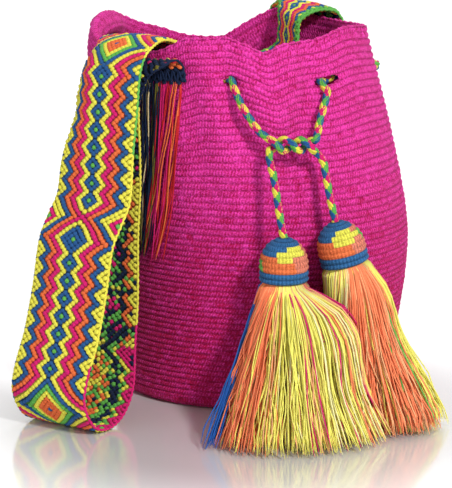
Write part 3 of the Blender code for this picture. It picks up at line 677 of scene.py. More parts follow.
def hidden_run():
    """Route of the drawstring from the right front eyelet round the bag to the left one."""
    inside = -(WALL + CORD_DIAMETER / 2 + PASS_CLEARANCE)
    outside = CORD_DIAMETER / 2 + OUTSIDE_CLEARANCE
    stops = [*EYELET_AZIMUTHS[1:], EYELET_AZIMUTHS[0] + 360]
    points, within = [], True
    for stop, after in zip(stops, stops[1:]):
        beyond = inside if within else outside
        free = after - stop - 2 * EYELET_STEP
        count = max(int(free // 12), 0 if within else 1)
        points += [(stop + EYELET_STEP + free * k / (count + 1), beyond) for k in range(count + 2)]
        points.append((after, -WALL / 2))
        within = not within
    return [wall_point(azimuth, eyelet_height(azimuth), distance, gathered=True)
            for azimuth, distance in points[:-1]]


def fine_path(route, step):
    """Evenly spaced points on the smooth curve through a route."""
    route = np.array(route)
    length = run_along(*route.T)
    dense = curve_at(np.column_stack([length, route]), np.linspace(0.0, length[-1], 4000))
    run = run_along(*dense.T)
    return between(np.linspace(0.0, run[-1], int(run[-1] / step) + 1), run, dense), run[-1]


def carried_frames(path, facing):
    """Two directions square to a path, carried back from its end, where the first one faces out."""
    tangent = normalized(np.gradient(path, axis=0))
    first = np.empty_like(path)
    seed = np.array(facing, dtype=float)
    for index in range(len(path) - 1, -1, -1):
        seed = seed - tangent[index] * np.dot(seed, tangent[index])
        seed = seed / np.linalg.norm(seed)
        first[index] = seed
    return first, np.cross(tangent, first)


def braid(name, route, finishes, plies):
    """Round braid of four strands along a route, the path it follows and its length."""
    path, length = fine_path(route, 0.0008)
    first, second = carried_frames(path, (0.0, -1.0, 0.1))
    run = np.linspace(0.0, length, len(path))
    share = np.linspace(0.0, 1.0, 9)
    strands, colours, faces_out = [], [], []
    for column, (start, end, pair) in enumerate(BRAID_COLUMNS):
        stitches = np.arange(-1, int(length / (BRAID_PITCH / 2)) + 1)
        begins = stitches * BRAID_PITCH / 2 + BRAID_PITCH / 4 * (column % 2)
        ends = np.minimum(begins + BRAID_STITCH, length)
        begins = np.maximum(begins, 0.0)
        long_enough = ends - begins > BRAID_SHORTEST
        stitches, begins, ends = stitches[long_enough], begins[long_enough], ends[long_enough]
        at = begins[:, None] + (ends - begins)[:, None] * share
        angle = np.radians(start + (end - start) * share)[None, :, None] + 0.0 * at[..., None]
        centre, across, beside = (between(at, run, rows) for rows in (path, first, second))
        radial = normalized(across * np.cos(angle) + beside * np.sin(angle))
        strands.append(centre + radial * (BRAID_REACH - 0.0009 * share ** 2)[None, :, None])
        faces_out.append(radial)
        colours.append(pair + (stitches + column // 2) % 2)
    strands, faces_out = np.concatenate(strands), np.concatenate(faces_out)
    thickness = BRAID_HALF_WIDTH * np.sin(np.pi * (0.06 + 0.88 * share)) ** 0.55
    across = normalized(np.cross(np.gradient(strands, axis=1), faces_out))
    side_by_side = [strands + across * (shift * thickness)[None, :, None]
                    - faces_out * (abs(shift) * 0.5 * thickness)[None, :, None]
                    for shift in (np.arange(plies) - (plies - 1) / 2) * 0.62]
    share_of_width = 0.50 if plies > 1 else 0.80
    points, quads = tubes(np.concatenate(side_by_side), thickness[None] * share_of_width, 4,
                          np.tile(faces_out, (plies, 1, 1)), 1.25)
    finish_of = np.repeat(np.tile(np.concatenate(colours), plies), len(quads) // (plies * len(strands)))
    piece = add_mesh(name, points, [quads], finishes, finish_of)
    return piece, path, length


def add_drawstring(finishes):
    """The two free ends with the twist between them, and the run through the eyelets."""
    for name, route in zip(("drawstring_left", "drawstring_right"), free_cords()):
        piece, path, length = braid(name, route, finishes, 3)
        carried(piece, "braided_cord", "drawstring")
    piece, _, _ = braid("drawstring_inside", hidden_run(), finishes, 1)
    carried(piece, "braided_cord")


# Bag

def stitch_relief(u, v):
    """Height of the crochet (0 to 1), its tint and its slant at u stitches and v rounds from the rim."""
    random = np.random.default_rng(5)
    uneven = random.normal(0, 1, (ROUNDS_COUNTED, STITCHES))
    course = np.floor(v)
    stagger = 0.5 * (course % 2)
    number = course.astype(int) % ROUNDS_COUNTED
    chance = uneven[number, np.floor(u + stagger).astype(int) % STITCHES]
    phase = v + 0.06 * np.cos(math.tau * (u + stagger)) + 0.045 * chance
    within = phase % 1.0
    ridge = np.sin(np.pi * within) ** 0.75
    stitch = np.cos(math.pi * (u + stagger + 0.5 * (within - 0.5))) ** 2
    plain = ridge * (0.91 + 0.09 * stitch) + 0.05 * chance * ridge
    rope = ridge ** 0.6 * (0.42 + 0.58 * np.cos(math.pi * (0.62 * u + 0.75 * within)) ** 2)
    decorated = (v >= 0) & (v < 1.2)
    for start in DECORATED_ROUNDS:
        decorated = decorated | ((v >= start) & (v < start + 1))
    shifted = random.uniform(0, 1, ROUNDS_COUNTED)[number]
    return np.where(decorated, 1.2 * rope, plain), chance, 2.0 * u + 0.8 * within + shifted


def shell_point(azimuth, radius, level, lift, rise=0.0):
    """Point of the bag at a radius and level of the plain cylinder that it is shaped from."""
    height = level + wave_at(azimuth, level)
    sizes = section(height)
    spread = np.exp(-(turn_between(azimuth, CORNER_AZIMUTH - 4) / CURL_SPREAD) ** 2)
    turned = np.clip((level - BODY_HEIGHT + CURL_HEIGHT) / CURL_HEIGHT, 0.0, 1.1) ** 2
    drawn = gather_depth(azimuth, height) + CURL_REACH * spread * turned
    deep = np.clip((BASE_RADIUS - radius) / WALL, 0.0, 1.0)
    lump = CURL_LUMP * spread * np.exp(-((level - BODY_HEIGHT + CURL_LUMP_DROP) / CURL_LUMP_DROP) ** 2)
    rise = rise + 0.5 * lump * np.sin(np.pi * deep)
    share = (radius - deep * lump) / BASE_RADIUS
    direction = outward(azimuth)
    x = sizes[..., 0] + (share * (sizes[..., 1] - drawn) + lift) * direction[..., 0]
    y = (share * (sizes[..., 2] - drawn) + lift) * direction[..., 1]
    return np.stack([x, y, height - CURL_DROP * spread * turned ** 2 + rise], axis=-1)


def eyelet_distance(azimuth, height):
    """How far points are from the nearest eyelet, in eyelet sizes."""
    nearest = np.full(np.broadcast(azimuth, height).shape, 9.0)
    for index, stop in enumerate(EYELET_AZIMUTHS):
        wide, high, turn = OTHER_HOLES if index else FIRST_HOLE
        up = height - (BODY_HEIGHT - EYELET_DROP + HOLE_RISE)
        across = turn_between(azimuth, stop + turn) * math.radians(1) * WALL_RADIUS
        nearest = np.minimum(nearest, np.hypot(across / wide, up / high))
    return nearest


def knit(name, finish, radius, height, lean, v, inward=False, columns=STITCHES * 3):
    """Surface of crochet over a profile; lean is 1 on the wall and 0 on the level base."""
    azimuth = np.arange(columns + 1) * 360 / columns + 180
    relief, chance, slant = stitch_relief((azimuth / 360 * STITCHES)[None, :], v[:, None])
    chance[:, -1] = chance[:, 0]
    az = np.broadcast_to(azimuth[None, :], relief.shape)
    high = np.broadcast_to(height[:, None], relief.shape)
    near = eyelet_distance(az, high)
    out = -1.0 if inward else 1.0
    bulge = (relief - 0.75) * STITCH_RELIEF
    lift = out * bulge * np.abs(lean)[:, None] * np.clip(radius / 0.02, 0, 1)[:, None]
    lift = lift - out * 0.5 * WALL * smoothstep((2.0 - near) / 0.9) * (np.abs(lean) > 0.99)[:, None]
    rise = -out * bulge * (1 - np.abs(lean))[:, None]
    points = shell_point(az, radius[:, None], high, lift, rise)
    points[..., 2] = np.maximum(points[..., 2], 0.0)
    # Painted shade in the grooves between rounds, strongest where the relief is lowest
    groove_shade = 0.9 * np.clip(1.0 - relief / 0.66, 0, 1) ** 1.2
    # Painted shade by height: the tint is lowered towards the bottom and raised towards the top, for how
    # the light falls
    painted_shade = PAINTED_SHADE_LOWEST + PAINTED_SHADE_RISE * smoothstep((high - PAINTED_SHADE_FROM) / PAINTED_SHADE_OVER)
    quads = grid_faces(len(radius), columns + 1)
    kept = near.ravel()[quads].min(axis=1) > 1.0
    parts = 1 if inward else 2
    band = np.arange(len(quads)) // columns * parts // len(radius)
    for part in range(parts):
        used, compact = np.unique(quads[kept & (band == part)], return_inverse=True)
        piece = add_mesh(f"{name}_{part}" if parts > 1 else name, points.reshape(-1, 3)[used],
                         [compact.reshape(-1, 4)], [finish],
                         values={"groove_shade": groove_shade.ravel()[used], "tint": (chance + painted_shade).ravel()[used],
                                 "slant": slant.ravel()[used]})
        carried(piece, "body_crochet")


def add_body(finish):
    """Outside, rim, inside and base of the bag, all in rounds of crochet."""
    flat = np.linspace(SMALLEST_ROUND, BASE_RADIUS - BASE_EDGE, 22)
    arc = np.linspace(0.0, math.pi / 2, 7)[1:]
    top = BODY_HEIGHT - 0.0012
    step = 1 / STEPS_PER_ROUND
    levels, counted = [top], [step]
    while levels[-1] > BASE_EDGE:
        levels.append(levels[-1] - np.interp(levels[-1], *zip(*ROUND_PITCHES)) * step)
        counted.append(counted[-1] + step)
    levels, counted = np.array(levels[-2::-1]), np.array(counted[-2::-1])
    below = BASE_EDGE * (1 - np.cos(arc))
    radius = np.concatenate([flat, BASE_RADIUS - BASE_EDGE + BASE_EDGE * np.sin(arc),
                             np.full(len(levels), BASE_RADIUS)])
    height = np.concatenate([np.zeros(len(flat)), below, levels])
    lean = np.concatenate([np.zeros(len(flat)), np.sin(arc), np.ones(len(levels))])
    bend = np.arange(len(arc), 0, -1) * 2 * step
    middle = bend[0] + (flat[-1] - flat + 0.002) / ROUND_PITCHES[0][1]
    knit("bag_outside", finish, radius, height, lean,
         np.concatenate([counted[0] + middle, counted[0] + bend, counted]))
    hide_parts("bag_body")

    over = np.linspace(0.0, math.pi, 9)
    rim_radius = BASE_RADIUS - WALL / 2 + WALL / 2 * np.cos(over)
    rim_height = top + 0.0014 * np.sin(over)
    below = np.linspace(top, WALL + BASE_EDGE, 146)[1:]
    middle = np.linspace(BASE_RADIUS - WALL - BASE_EDGE, SMALLEST_ROUND, 14)
    radius = np.concatenate([rim_radius, np.full(len(below), BASE_RADIUS - WALL), middle])
    height = np.concatenate([rim_height, below, np.full(len(middle), WALL)])
    lean = np.concatenate([np.abs(np.cos(over)) * 0.98, np.ones(len(below)), np.zeros(len(middle))])
    down = run_along(radius, height)
    knit("bag_inside", finish, radius, height, lean, down / ROUND_PITCHES[-1][1], inward=True,
         columns=STITCHES * 2)


# Strap

def chain(first, count):
    """Turning points of a row of small diamonds."""
    points = [(first + 6 * k + extra, width) for k in range(count) for extra, width in ((0, 4), (3, 1))]
    return points[:-1]


def strap_wave():
    """Half width of the middle field by row, counted down the front strand from its crest."""
    down = [(1, 11), (11, 1), *chain(15, 8), (63.5, -2.5), (71, 5), (76, 1), *chain(79, 7), (118, 1),
            (129, 12), (140, 1), (142, 1), *chain(145, 5), (175.5, -2.5), (183, 5), (188, 1),
            *chain(191, 7), (230, 1), (232, 1), (243, 12), (254, 1), *chain(257, 30)]
    back = [(2 - row, width) for row, width in down[1:] if row <= 140]
    return sorted(back + down)


def banded(value, bands, rest):
    """Choice at each value: that of the first (limit, choice) whose limit is above it, or the rest."""
    return np.select([value < limit for limit, _ in bands], [choice for _, choice in bands], rest)


def mixed(chance, *parts):
    """One of several yarns by chance, each (yarn, share) with its share of the knots or strands."""
    limits = np.cumsum([share for _, share in parts[:-1]])
    return np.array([index for index, _ in parts])[np.searchsorted(limits, chance, side="right")]


def half_width(row):
    """Half width of the middle field, in columns, at rows."""
    return np.interp(row, *zip(*strap_wave()))


def front_colour(column, row, physical):
    """Yarn of a knot on the strap's good side, by row from the crest and from the first end; the navy,
    orange and red rows next to the first end are painted shade.
    """
    across = np.abs(column - COLUMNS // 2)
    width = half_width(row)
    outside = across - width
    big = np.any([np.abs(row - centre) < BIG_DIAMOND_ROWS for centre in BIG_DIAMONDS], axis=0)
    small = np.where((across == 0) & (width >= 3.9), GREEN, BLUE)
    nested = np.select([outside >= -2, outside >= -4, outside >= -6, outside >= -10],
                       [BLUE, GREEN, YELLOW, ORANGE], BLUE)
    bands = banded(outside, ((2, YELLOW), (4, PINK), (6, ORANGE), (8, BLUE),
                             (11, YELLOW), (13, PINK)), GREEN)
    colour = np.where(outside >= 0, bands, np.where(big, nested, small))
    colour = np.where((across >= 10) & (STRAP_ROWS - physical < 90), GREEN, colour)
    # Painted shade next to the first end: navy, orange and red rows stand for the pattern in the shade of
    # the fold
    sewn = np.where((column > 11) & (column // 2 % 3 > 0), ORANGE, NAVY)
    return banded(physical, ((5, NAVY), (7, sewn), (9, RED), (16, NAVY)), colour)


def back_colour(column, row, physical, chance):
    """Yarn of a knot on the strap's reverse, where the colours mix."""
    outside = np.abs(column - COLUMNS // 2) - half_width(row)
    upper = banded(outside, (
        (0, mixed(chance, (GREEN, 0.4), (PINK, 0.25), (NAVY, 0.35))),
        (3, mixed(chance, (NAVY, 0.50), (PINK, 0.26), (GREEN, 0.24))),
        (5.5, mixed(chance, (NAVY, 0.78), (GREEN, 0.22))),
        (8, mixed(chance, (ORANGE, 0.86), (NAVY, 0.14)))), YELLOW)
    lower = banded(outside, (
        (1, mixed(chance, (ORANGE, 0.5), (YELLOW, 0.25), (GREEN, 0.25))),
        (3, mixed(chance, (GREEN, 0.55), (YELLOW, 0.25), (NAVY, 0.20))),
        (5.5, mixed(chance, (NAVY, 0.78), (GREEN, 0.22))),
        (7.5, mixed(chance, (YELLOW, 0.75), (GREEN, 0.25)))), PINK)
    colour = np.where((row > 118) & (row < 178), lower, upper)
    stray = (chance * 97) % 1.0
    colour = banded(stray, ((0.03, GREEN), (0.06, YELLOW), (0.10, NAVY)), colour)
    # Painted shade next to the first end: navy, red and orange rows, then mostly navy up to row 26
    dark = mixed(chance, (YELLOW, 0.08), (OLIVE, 0.10), (PINK, 0.08), (NAVY, 0.74))
    return banded(physical, ((2.5, NAVY), (5.5, RED), (7.5, ORANGE), (26, dark)), colour)


def edging_colour(row, side):
    """Yarn along the strap's edge by row from the crest."""
    if side < 0:
        return np.where(row < -44, GREEN, np.where(row % 6 < 3, BLUE, YELLOW))
    # Navy from row 262 on, next to the first end: painted shade
    return banded(row, ((-44, GREEN), (6, YELLOW), (40, GREEN), (112, YELLOW),
                        (186, PINK), (262, YELLOW)), NAVY)


def strap_stations():
    """Smooth-curve stations of the strap's centre and attitude, and its length."""
    centres, attitudes = [], []
    length, last = 0.0, None
    for azimuth, clearance, share, heading, rise, bend, width in STRAP_PATH:
        height = share * BODY_HEIGHT + STRAP_THICKNESS / 2
        centre = wall_point(azimuth, height, clearance + STRAP_THICKNESS / 2)
        if last is not None:
            length += float(np.linalg.norm(centre - last))
        last = centre
        centres.append((length, *centre))
        attitudes.append((length, heading, rise, bend, width))
    return centres, attitudes, length


STRAP_CENTRES, STRAP_ATTITUDES, STRAP_LENGTH = strap_stations()
STRAP_ROWS = int(STRAP_LENGTH / ROW_PITCH)


def strap_frames(rows):
    """Centre, width direction, face direction, bend and width share at rows along the strap."""
    where = np.asarray(rows, dtype=float) * STRAP_LENGTH / STRAP_ROWS
    centre = curve_at(STRAP_CENTRES, where)
    along = curve_at(STRAP_CENTRES, where + 0.001) - curve_at(STRAP_CENTRES, where - 0.001)
    heading, rise, bend, width = np.moveaxis(curve_at(STRAP_ATTITUDES, where), -1, 0)
    heading, rise = np.radians(heading), np.radians(rise)
    side = np.stack([np.cos(heading) * np.cos(rise), -np.sin(heading) * np.cos(rise), np.sin(rise)],
                    axis=-1)
    face = normalized(np.cross(side, along))
    return centre, side, face, bend, width


def strap_point(rows, across, off):
    """Points of the strap: across in metres from its middle, off its middle surface."""
    centre, side, face, bend, width = strap_frames(rows)
    reach = across * width
    tilt = bend * reach
    square = normalized(face + side * tilt[..., None])
    point = centre + side * reach[..., None] - face * (bend * reach ** 2 / 2)[..., None]
    counted = CREST_ROW - np.asarray(rows, dtype=float)
    rolled = ramp(counted, ROLL_START) * (1 - ramp(counted, ROLL_END))
    start, end = ROLLED_EDGE
    tucked = np.clip((-across - start) / (end - start), 0.0, 1.0) ** 2
    drawn = (ROLL_IN * rolled + BEHIND_IN * ramp(counted, BEHIND_START)) * tucked
    point = point + side * drawn[..., None] - face * (ROLL_BACK * rolled * tucked)[..., None]
    return point + square * np.asarray(off)[..., None], square, side


def waved(offset, counted):
    """Columns from the strap's middle, where the tight weave draws the waves flatter."""
    width = half_width(counted)
    drawn = np.interp(width, (-3, 1, 4, 12), (-0.42, -0.42, 0.42, 1.4))
    far = np.abs(offset)
    weight = np.minimum(np.clip(far / np.clip(np.abs(width), 1, 6), 0, 1),
                        np.clip((11.5 - far) / 3.5, 0, 1))
    return np.sign(offset) * (far - drawn * weight)


def knots(name, sign, finishes, colour, columns, rows, lean, sides):
    """Half-round knots on one side of the strap."""
    spacing = (STRAP_WIDTH - SELVAGE) / COLUMNS
    across = waved(columns - COLUMNS // 2, CREST_ROW - rows) * spacing
    off = sign * np.full(len(rows), KNOT_LEVEL)
    place, face, side = strap_point(rows, across, off)
    ahead, _, _ = strap_point(rows + 0.5, across, off)
    along = normalized(ahead - place)
    face = face * sign
    long = normalized(side * (lean * spacing)[:, None] + along * ROW_PITCH)
    short = np.cross(face, long)
    angle = (np.arange(sides) + 0.5) * math.tau / sides
    template = [(r * math.cos(a), r * math.sin(a), h) for r, h in KNOT_RINGS for a in angle]
    template = np.array([*template, (0.0, 0.0, 1.0)])
    step = np.hypot(lean * spacing, ROW_PITCH)
    half_long = np.clip(0.72 * step, 0.0021, 0.0029)[:, None, None]
    half_short = np.clip(0.92 * spacing * ROW_PITCH / step, 0.0018, 0.0024)[:, None, None]
    uneven = np.random.default_rng(21).normal(1.0, 0.07, (len(rows), 1, 1))
    points = (place[:, None] + long[:, None] * (template[None, :, :1] * half_long * uneven)
              + short[:, None] * (template[None, :, 1:2] * half_short)
              + face[:, None] * (template[None, :, 2:] * KNOT_RISE * uneven))
    points[..., 2] = np.maximum(points[..., 2], 0.0)
    ring = np.arange(sides)
    after = (ring + 1) % sides
    quads = np.stack([ring, after, after + sides, ring + sides], axis=1)
    tips = np.stack([ring + sides, after + sides, np.full(sides, 2 * sides)], axis=1)
    offsets = (np.arange(len(rows)) * (2 * sides + 1))[:, None, None]
    quads = (quads[None] + offsets).reshape(-1, 4)
    tips = (tips[None] + offsets).reshape(-1, 3)
    if sign < 0:
        quads, tips = quads[:, ::-1], tips[:, ::-1]
    return add_mesh(name, points, [quads, tips], finishes, np.tile(np.repeat(colour, sides), 2))


def add_strap(finishes, shaded):
    """The strap's knots on both sides, the cloth under them and its edging."""
    random = np.random.default_rng(7)
    row, column = np.meshgrid(np.arange(STRAP_ROWS + 1), np.arange(COLUMNS), indexing="ij")
    chance = random.random(row.shape)
    counted = (CREST_ROW - row).astype(float)
    good = front_colour(column, counted, row)
    reverse = back_colour(column, counted, row, chance)
    woven = (row + column + COLUMNS // 2) % 2 == 0
    rows, columns = row[woven].astype(float), column[woven].astype(float)
    slope = half_width(counted[woven] - 0.5) - half_width(counted[woven] + 0.5)
    offset = columns - COLUMNS // 2
    lean = waved(offset + np.sign(offset) * slope, counted[woven] - 1) - waved(offset, counted[woven])
    front = knots("strap_front", 1.0, finishes, good[woven], columns, rows, lean, 8)
    carried(front, "strap_weave", "shoulder_strap")
    back = knots("strap_back", -1.0, finishes, reverse[woven], columns, rows, lean, 5)
    carried(back, "strap_weave")
    add_cloth(shaded, good, reverse)
    add_edging(finishes)


def add_cloth(shaded, good, reverse):
    """Cloth under the knots, a sheet for each side, in the shaded yarns: painted shade between the knots.
    """
    grid_row, border = np.meshgrid(np.arange(STRAP_ROWS + 1), np.arange(COLUMNS + 1), indexing="ij")
    spacing = (STRAP_WIDTH - CLOTH_MARGIN) / COLUMNS
    grid_across = waved(border - COLUMNS / 2, CREST_ROW - grid_row) * spacing
    sheets = [strap_point(grid_row, grid_across, np.full(grid_row.shape, level))[0]
              for level in (CLOTH_LEVEL, -CLOTH_LEVEL)]
    quads = grid_faces(*grid_row.shape)
    cloth = add_mesh("strap_cloth", sheets, [quads[:, ::-1], quads + grid_row.size], shaded,
                     np.concatenate([good[:-1].ravel(), reverse[:-1].ravel()]))
    carried(cloth, "strap_weave")


def add_edging(finishes):
    """Thin cord along each edge of the strap."""
    samples = np.arange(0, STRAP_ROWS, 0.5)
    wave, lift = (EDGING_WAVE * turn(samples * math.pi) for turn in (np.sin, np.cos))
    cords, colours = [], []
    for sign in (-1, 1):
        path, _, _ = strap_point(samples, sign * (STRAP_WIDTH / 2 - EDGING_INSET) + wave, lift)
        path[:, 2] = np.maximum(path[:, 2], EDGING_LOWEST)
        cords.append(path)
        colours.append(np.repeat(edging_colour(CREST_ROW - samples[:-1], sign), 6))
    _, face, _ = strap_point(samples, np.zeros(len(samples)), np.zeros(len(samples)))
    points, quads = tubes(np.array(cords), EDGING_RADIUS, 6, face[None])
    edging = add_mesh("strap_edging", points, [quads], finishes, np.concatenate(colours))
    carried(edging, "strap_weave")


def add_seams(finish):
    """Zigzag of sewing yarn over each sewn end of the strap."""
    count = SEAM_STITCHES * 8 + 1
    share = np.linspace(0, 1, count)
    rows = 2.2 - 1.8 * np.cos(share * math.tau * SEAM_STITCHES)
    for name, places in (("left", rows), ("right", STRAP_ROWS - rows)):
        across = (share - 0.5) * (STRAP_WIDTH - SEAM_MARGIN)
        path, face, _ = strap_point(places, across, np.full(count, SEAM_LEVEL))
        points, quads = tubes(path[None], SEAM_RADIUS, 6, face[None])
        piece = add_mesh(f"seam_yarn_{name}", points, [quads], [finish])
        carried(piece, "sewing_yarn", f"strap_seam_yarn_{name}")


# Fringes

def add_fringe(name, at_start, lean, narrowing, finishes, palette, seed):
    """Loose warp ends that hang down the wall from one end of the strap."""
    random = np.random.default_rng(seed)

    def drawn(low, high):
        """One number for each strand."""
        return random.uniform(low, high, FRINGE_STRANDS)[:, None]

    across = np.sort(random.uniform(-0.5, 0.5, FRINGE_STRANDS)) * (STRAP_WIDTH - SELVAGE)
    rows = np.full(FRINGE_STRANDS, 0.0 if at_start else float(STRAP_ROWS))
    top, _, _ = strap_point(rows, across, np.zeros(FRINGE_STRANDS))
    sizes = section(top[:, 2])
    azimuth = np.degrees(np.arctan2((top[:, 0] - sizes[:, 0]) / sizes[:, 1], -top[:, 1] / sizes[:, 2]))
    centre = STRAP_PATH[0][0] if at_start else STRAP_PATH[-1][0]
    fall = np.linspace(0, 1, 18)[None, :]
    length = FRINGE_LENGTH * drawn(0.74, 1.02)
    spread = turn_between(azimuth, centre)[:, None] * (1 - narrowing * fall)
    drift = random.normal(0, 2.0, FRINGE_STRANDS)[:, None] * fall ** 1.2
    sway = drawn(0.3, 1.3) * np.sin(fall * drawn(3, 10) + drawn(0, 6)) * fall
    height = top[:, 2][:, None] + FRINGE_RISE - length * fall
    off = FRINGE_OFF + (drawn(*FRINGE_LAYERS) - FRINGE_OFF) * smoothstep(fall * 8)
    off = off + FRINGE_SWELL * np.sin(fall * 7 + drawn(0, 6)) ** 2
    places = wall_point(centre + spread + lean * fall + drift + sway, height, off)
    points, quads = tubes(places, FRINGE_RADIUS, 4, outward(np.full(1, float(centre))))
    shares = np.clip((across / STRAP_WIDTH + 0.5) + random.normal(0, 0.05, FRINGE_STRANDS), 0, 0.999)
    colours = np.array(palette)[(shares * len(palette)).astype(int)]
    piece = add_mesh(name, points, [quads], finishes, np.repeat(colours, len(quads) // FRINGE_STRANDS))
    carried(piece, "warp_ends", name)


# Tassels

def moved(matrix, points):
    """Points taken through a 4 by 4 matrix."""
    matrix = np.array(matrix)
    return points @ matrix[:3, :3].T + matrix[:3, 3]


def cap_colour(side, level, turn):
    """Yarn of a cap by level (0 at the lower edge, 1 at the top) and azimuth."""
    _, orange, _, _, salmon = range(5)
    level, turn = np.broadcast_arrays(level, turn)
    colour = np.where(turn > CAP_SALMON_FROM, salmon, orange)
    for start, end, low, high, shade in COMMON_PATCHES + CAP_PATCHES[side]:
        inside = (turn >= start) & (turn <= end) & (level >= low) & (level < high)
        colour = np.where(inside, shade, colour)
    return colour


def cap_profile():
    """Radius and height of a cap's outside, from its top down to its lower edge."""
    straight = CAP_HEIGHT * 0.45
    angles = np.linspace(math.pi / 2, 0.0, 30)
    lower = np.linspace(straight, CAP_EDGE, 16)[1:]
    radius = np.maximum(CAP_RADIUS * np.cos(angles), 0.0046)
    height = straight + (CAP_HEIGHT - straight) * np.sin(angles)
    return np.append(radius, np.full(len(lower), CAP_RADIUS)), np.append(height, lower)


def add_cap(side, cap, finishes):
    """Crocheted cap of a tassel."""
    radius, height = cap_profile()
    run = run_along(radius, height)
    azimuth = np.arange(CAP_COLUMNS) * 360 / CAP_COLUMNS - 180
    v = (run[-1] - run) / (run[-1] / CAP_ROUNDS) + 1e-6
    course = np.floor(v)
    u = azimuth / 360 * CAP_STITCHES
    ridge = np.sin(np.pi * (v % 1.0))[:, None] ** 0.55
    slant = u[None, :] + 0.45 * (v % 1.0)[:, None] + CAP_STITCH_SHIFT * course[:, None]
    relief = ridge * (0.88 + 0.12 * np.cos(math.pi * slant) ** 2)
    radial, upward = -np.gradient(height), np.gradient(radius)
    scale = np.maximum(np.hypot(radial, upward), 1e-9)
    lift = (relief - 0.7) * CAP_RELIEF
    direction = outward(azimuth)[None]
    outer = direction * (radius[:, None] + lift * (radial / scale)[:, None])[..., None]
    outer[..., 2] = height[:, None] + lift * (upward / scale)[:, None]
    inner = direction * np.maximum(radius - CAP_WALL, 0.0044)[::-1][:, None, None]
    inner[..., 2] = np.maximum(height - CAP_WALL * height / CAP_HEIGHT, CAP_EDGE)[::-1][:, None]
    points = np.concatenate([outer, inner])
    quads = grid_faces(len(points), CAP_COLUMNS, wrap=True)
    last = grid_faces(2, CAP_COLUMNS, wrap=True)
    last = np.where(last >= CAP_COLUMNS, last - CAP_COLUMNS, last + (len(points) - 1) * CAP_COLUMNS)
    quads = np.concatenate([quads, last])[:, ::-1]
    flat = points.reshape(-1, 3)
    rounds = np.concatenate([course, course[::-1]])[quads.min(axis=1) // CAP_COLUMNS]
    middle = flat[quads].mean(axis=1)
    turn = np.degrees(np.arctan2(middle[:, 0], -middle[:, 1]))
    step = 360 / CAP_STITCHES
    shift = CAP_STITCH_SHIFT * (rounds % 3)
    turn = (np.round(turn / step + shift) - shift) * step
    colour = cap_colour(side, (rounds + 0.5) / CAP_ROUNDS, turn)
    # Painted shade in the caps' grooves between rounds; none on the inside
    groove_shade = np.concatenate([np.clip(1.0 - relief / 0.66, 0, 1), np.zeros(inner.shape[:2])])
    tint = np.random.default_rng(8).normal(0, 1, (len(points), CAP_COLUMNS))
    piece = add_mesh(f"cap_{side}", moved(cap_frame(cap), flat), [quads], finishes, colour,
                     {"groove_shade": groove_shade, "tint": tint * 0.7,
                      "slant": np.broadcast_to(u * 2.0, tint.shape)})
    carried(piece, "cap_crochet", f"tassel_cap_{side}")


def strand_colours(side, azimuth, depth, random):
    """Yarn of each strand by azimuth about its cap and how deep it lies in the bundle."""
    chance = random.random(len(azimuth))
    orange, yellow, peach, pink, blue, green, cream = range(7)
    turn = azimuth + random.normal(0, 4, len(azimuth))
    if side == "left":
        behind = ((pink, 0.30), (green, 0.30), (orange, 0.20), (yellow, 0.20))
        zones = ((-112, behind), (-80, ((blue, 1),)),
                 (-2, ((orange, 0.92), (peach, 0.05), (yellow, 0.03))),
                 (54, ((yellow, 0.66), (cream, 0.14), (peach, 0.10), (orange, 0.05), (pink, 0.05))),
                 (80, ((pink, 0.14), (peach, 0.30), (yellow, 0.36), (orange, 0.20))))
    else:
        behind = ((yellow, 0.50), (orange, 0.25), (green, 0.25))
        zones = ((-80, behind), (2, ((yellow, 0.60), (cream, 0.20), (peach, 0.20))),
                 (54, ((orange, 0.76), (peach, 0.19), (green, 0.003), (yellow, 0.047))),
                 (120, ((yellow, 0.84), (cream, 0.09), (orange, 0.07))))
    colour = np.select([turn <= limit for limit, _ in zones],
                       [mixed(chance, *parts) for _, parts in zones], mixed(chance, *behind))
    if side == "left":
        front = mixed(chance, (yellow, 0.80), (cream, 0.10), (orange, 0.05), (peach, 0.04), (pink, 0.01))
        colour = np.where((turn <= -2) & (chance < (turn + 24) / 22), front, colour)
    hidden = mixed(chance, (green, 0.02), (peach, 0.38), (yellow, 0.20), (orange, 0.40))
    return np.where(depth < 0.55, hidden, colour)


def scattered(side, reach, random):
    """Azimuth, reach, depth, yarn and spread of each strand, those of the locks last."""
    ring = [(reach[-1][0] - 360, reach[-1][1]), *reach, *[(a + 360, r) for a, r in reach[:2]]]
    around = np.linspace(-180, 180, 721)
    crowd = np.cumsum(np.clip(curve_at(ring, around)[:, 0] / 0.09, 0.22, 1.0))
    azimuth = np.interp(random.random(SKIRT_STRANDS), crowd / crowd[-1], around)
    depth = 1 - 0.55 * random.random(SKIRT_STRANDS) ** 2.2
    colour = strand_colours(side, azimuth, depth, random)
    kicked = np.interp(azimuth, *zip(*SKIRT_KICK[side]))
    columns = [[azimuth], [curve_at(ring, azimuth)[:, 0]], [depth], [colour], [kicked]]
    for number, low, high, out, kick, shade in SKIRT_LOCKS[side]:
        lock = (random.uniform(low, high, number), np.full(number, out),
                random.uniform(0.94, 1.02, number), np.full(number, shade), np.full(number, kick))
        for column, values in zip(columns, lock):
            column.append(values)
    return [np.concatenate(column) for column in columns]


def swayed(path, direction, fall, random):
    """Strands with long and short waves of their own, across and towards the bundle."""
    strands = len(path)
    across = np.stack([direction[:, 1], -direction[:, 0], np.zeros(strands)], axis=-1)[:, None]
    for low, high, amount in ((2, 6, 0.0034), (8, 17, 0.0019)):
        size = random.normal(0, amount, strands)[:, None, None]
        pace = random.uniform(low, high, strands)[:, None, None]
        phase = random.uniform(0, 6, strands)[:, None, None]
        path = path + across * (size * np.sin(pace * fall + phase) * fall ** 0.7)
        path = path - direction[:, None] * np.abs(size * np.sin(pace * fall + phase * 2) * fall)
    return path


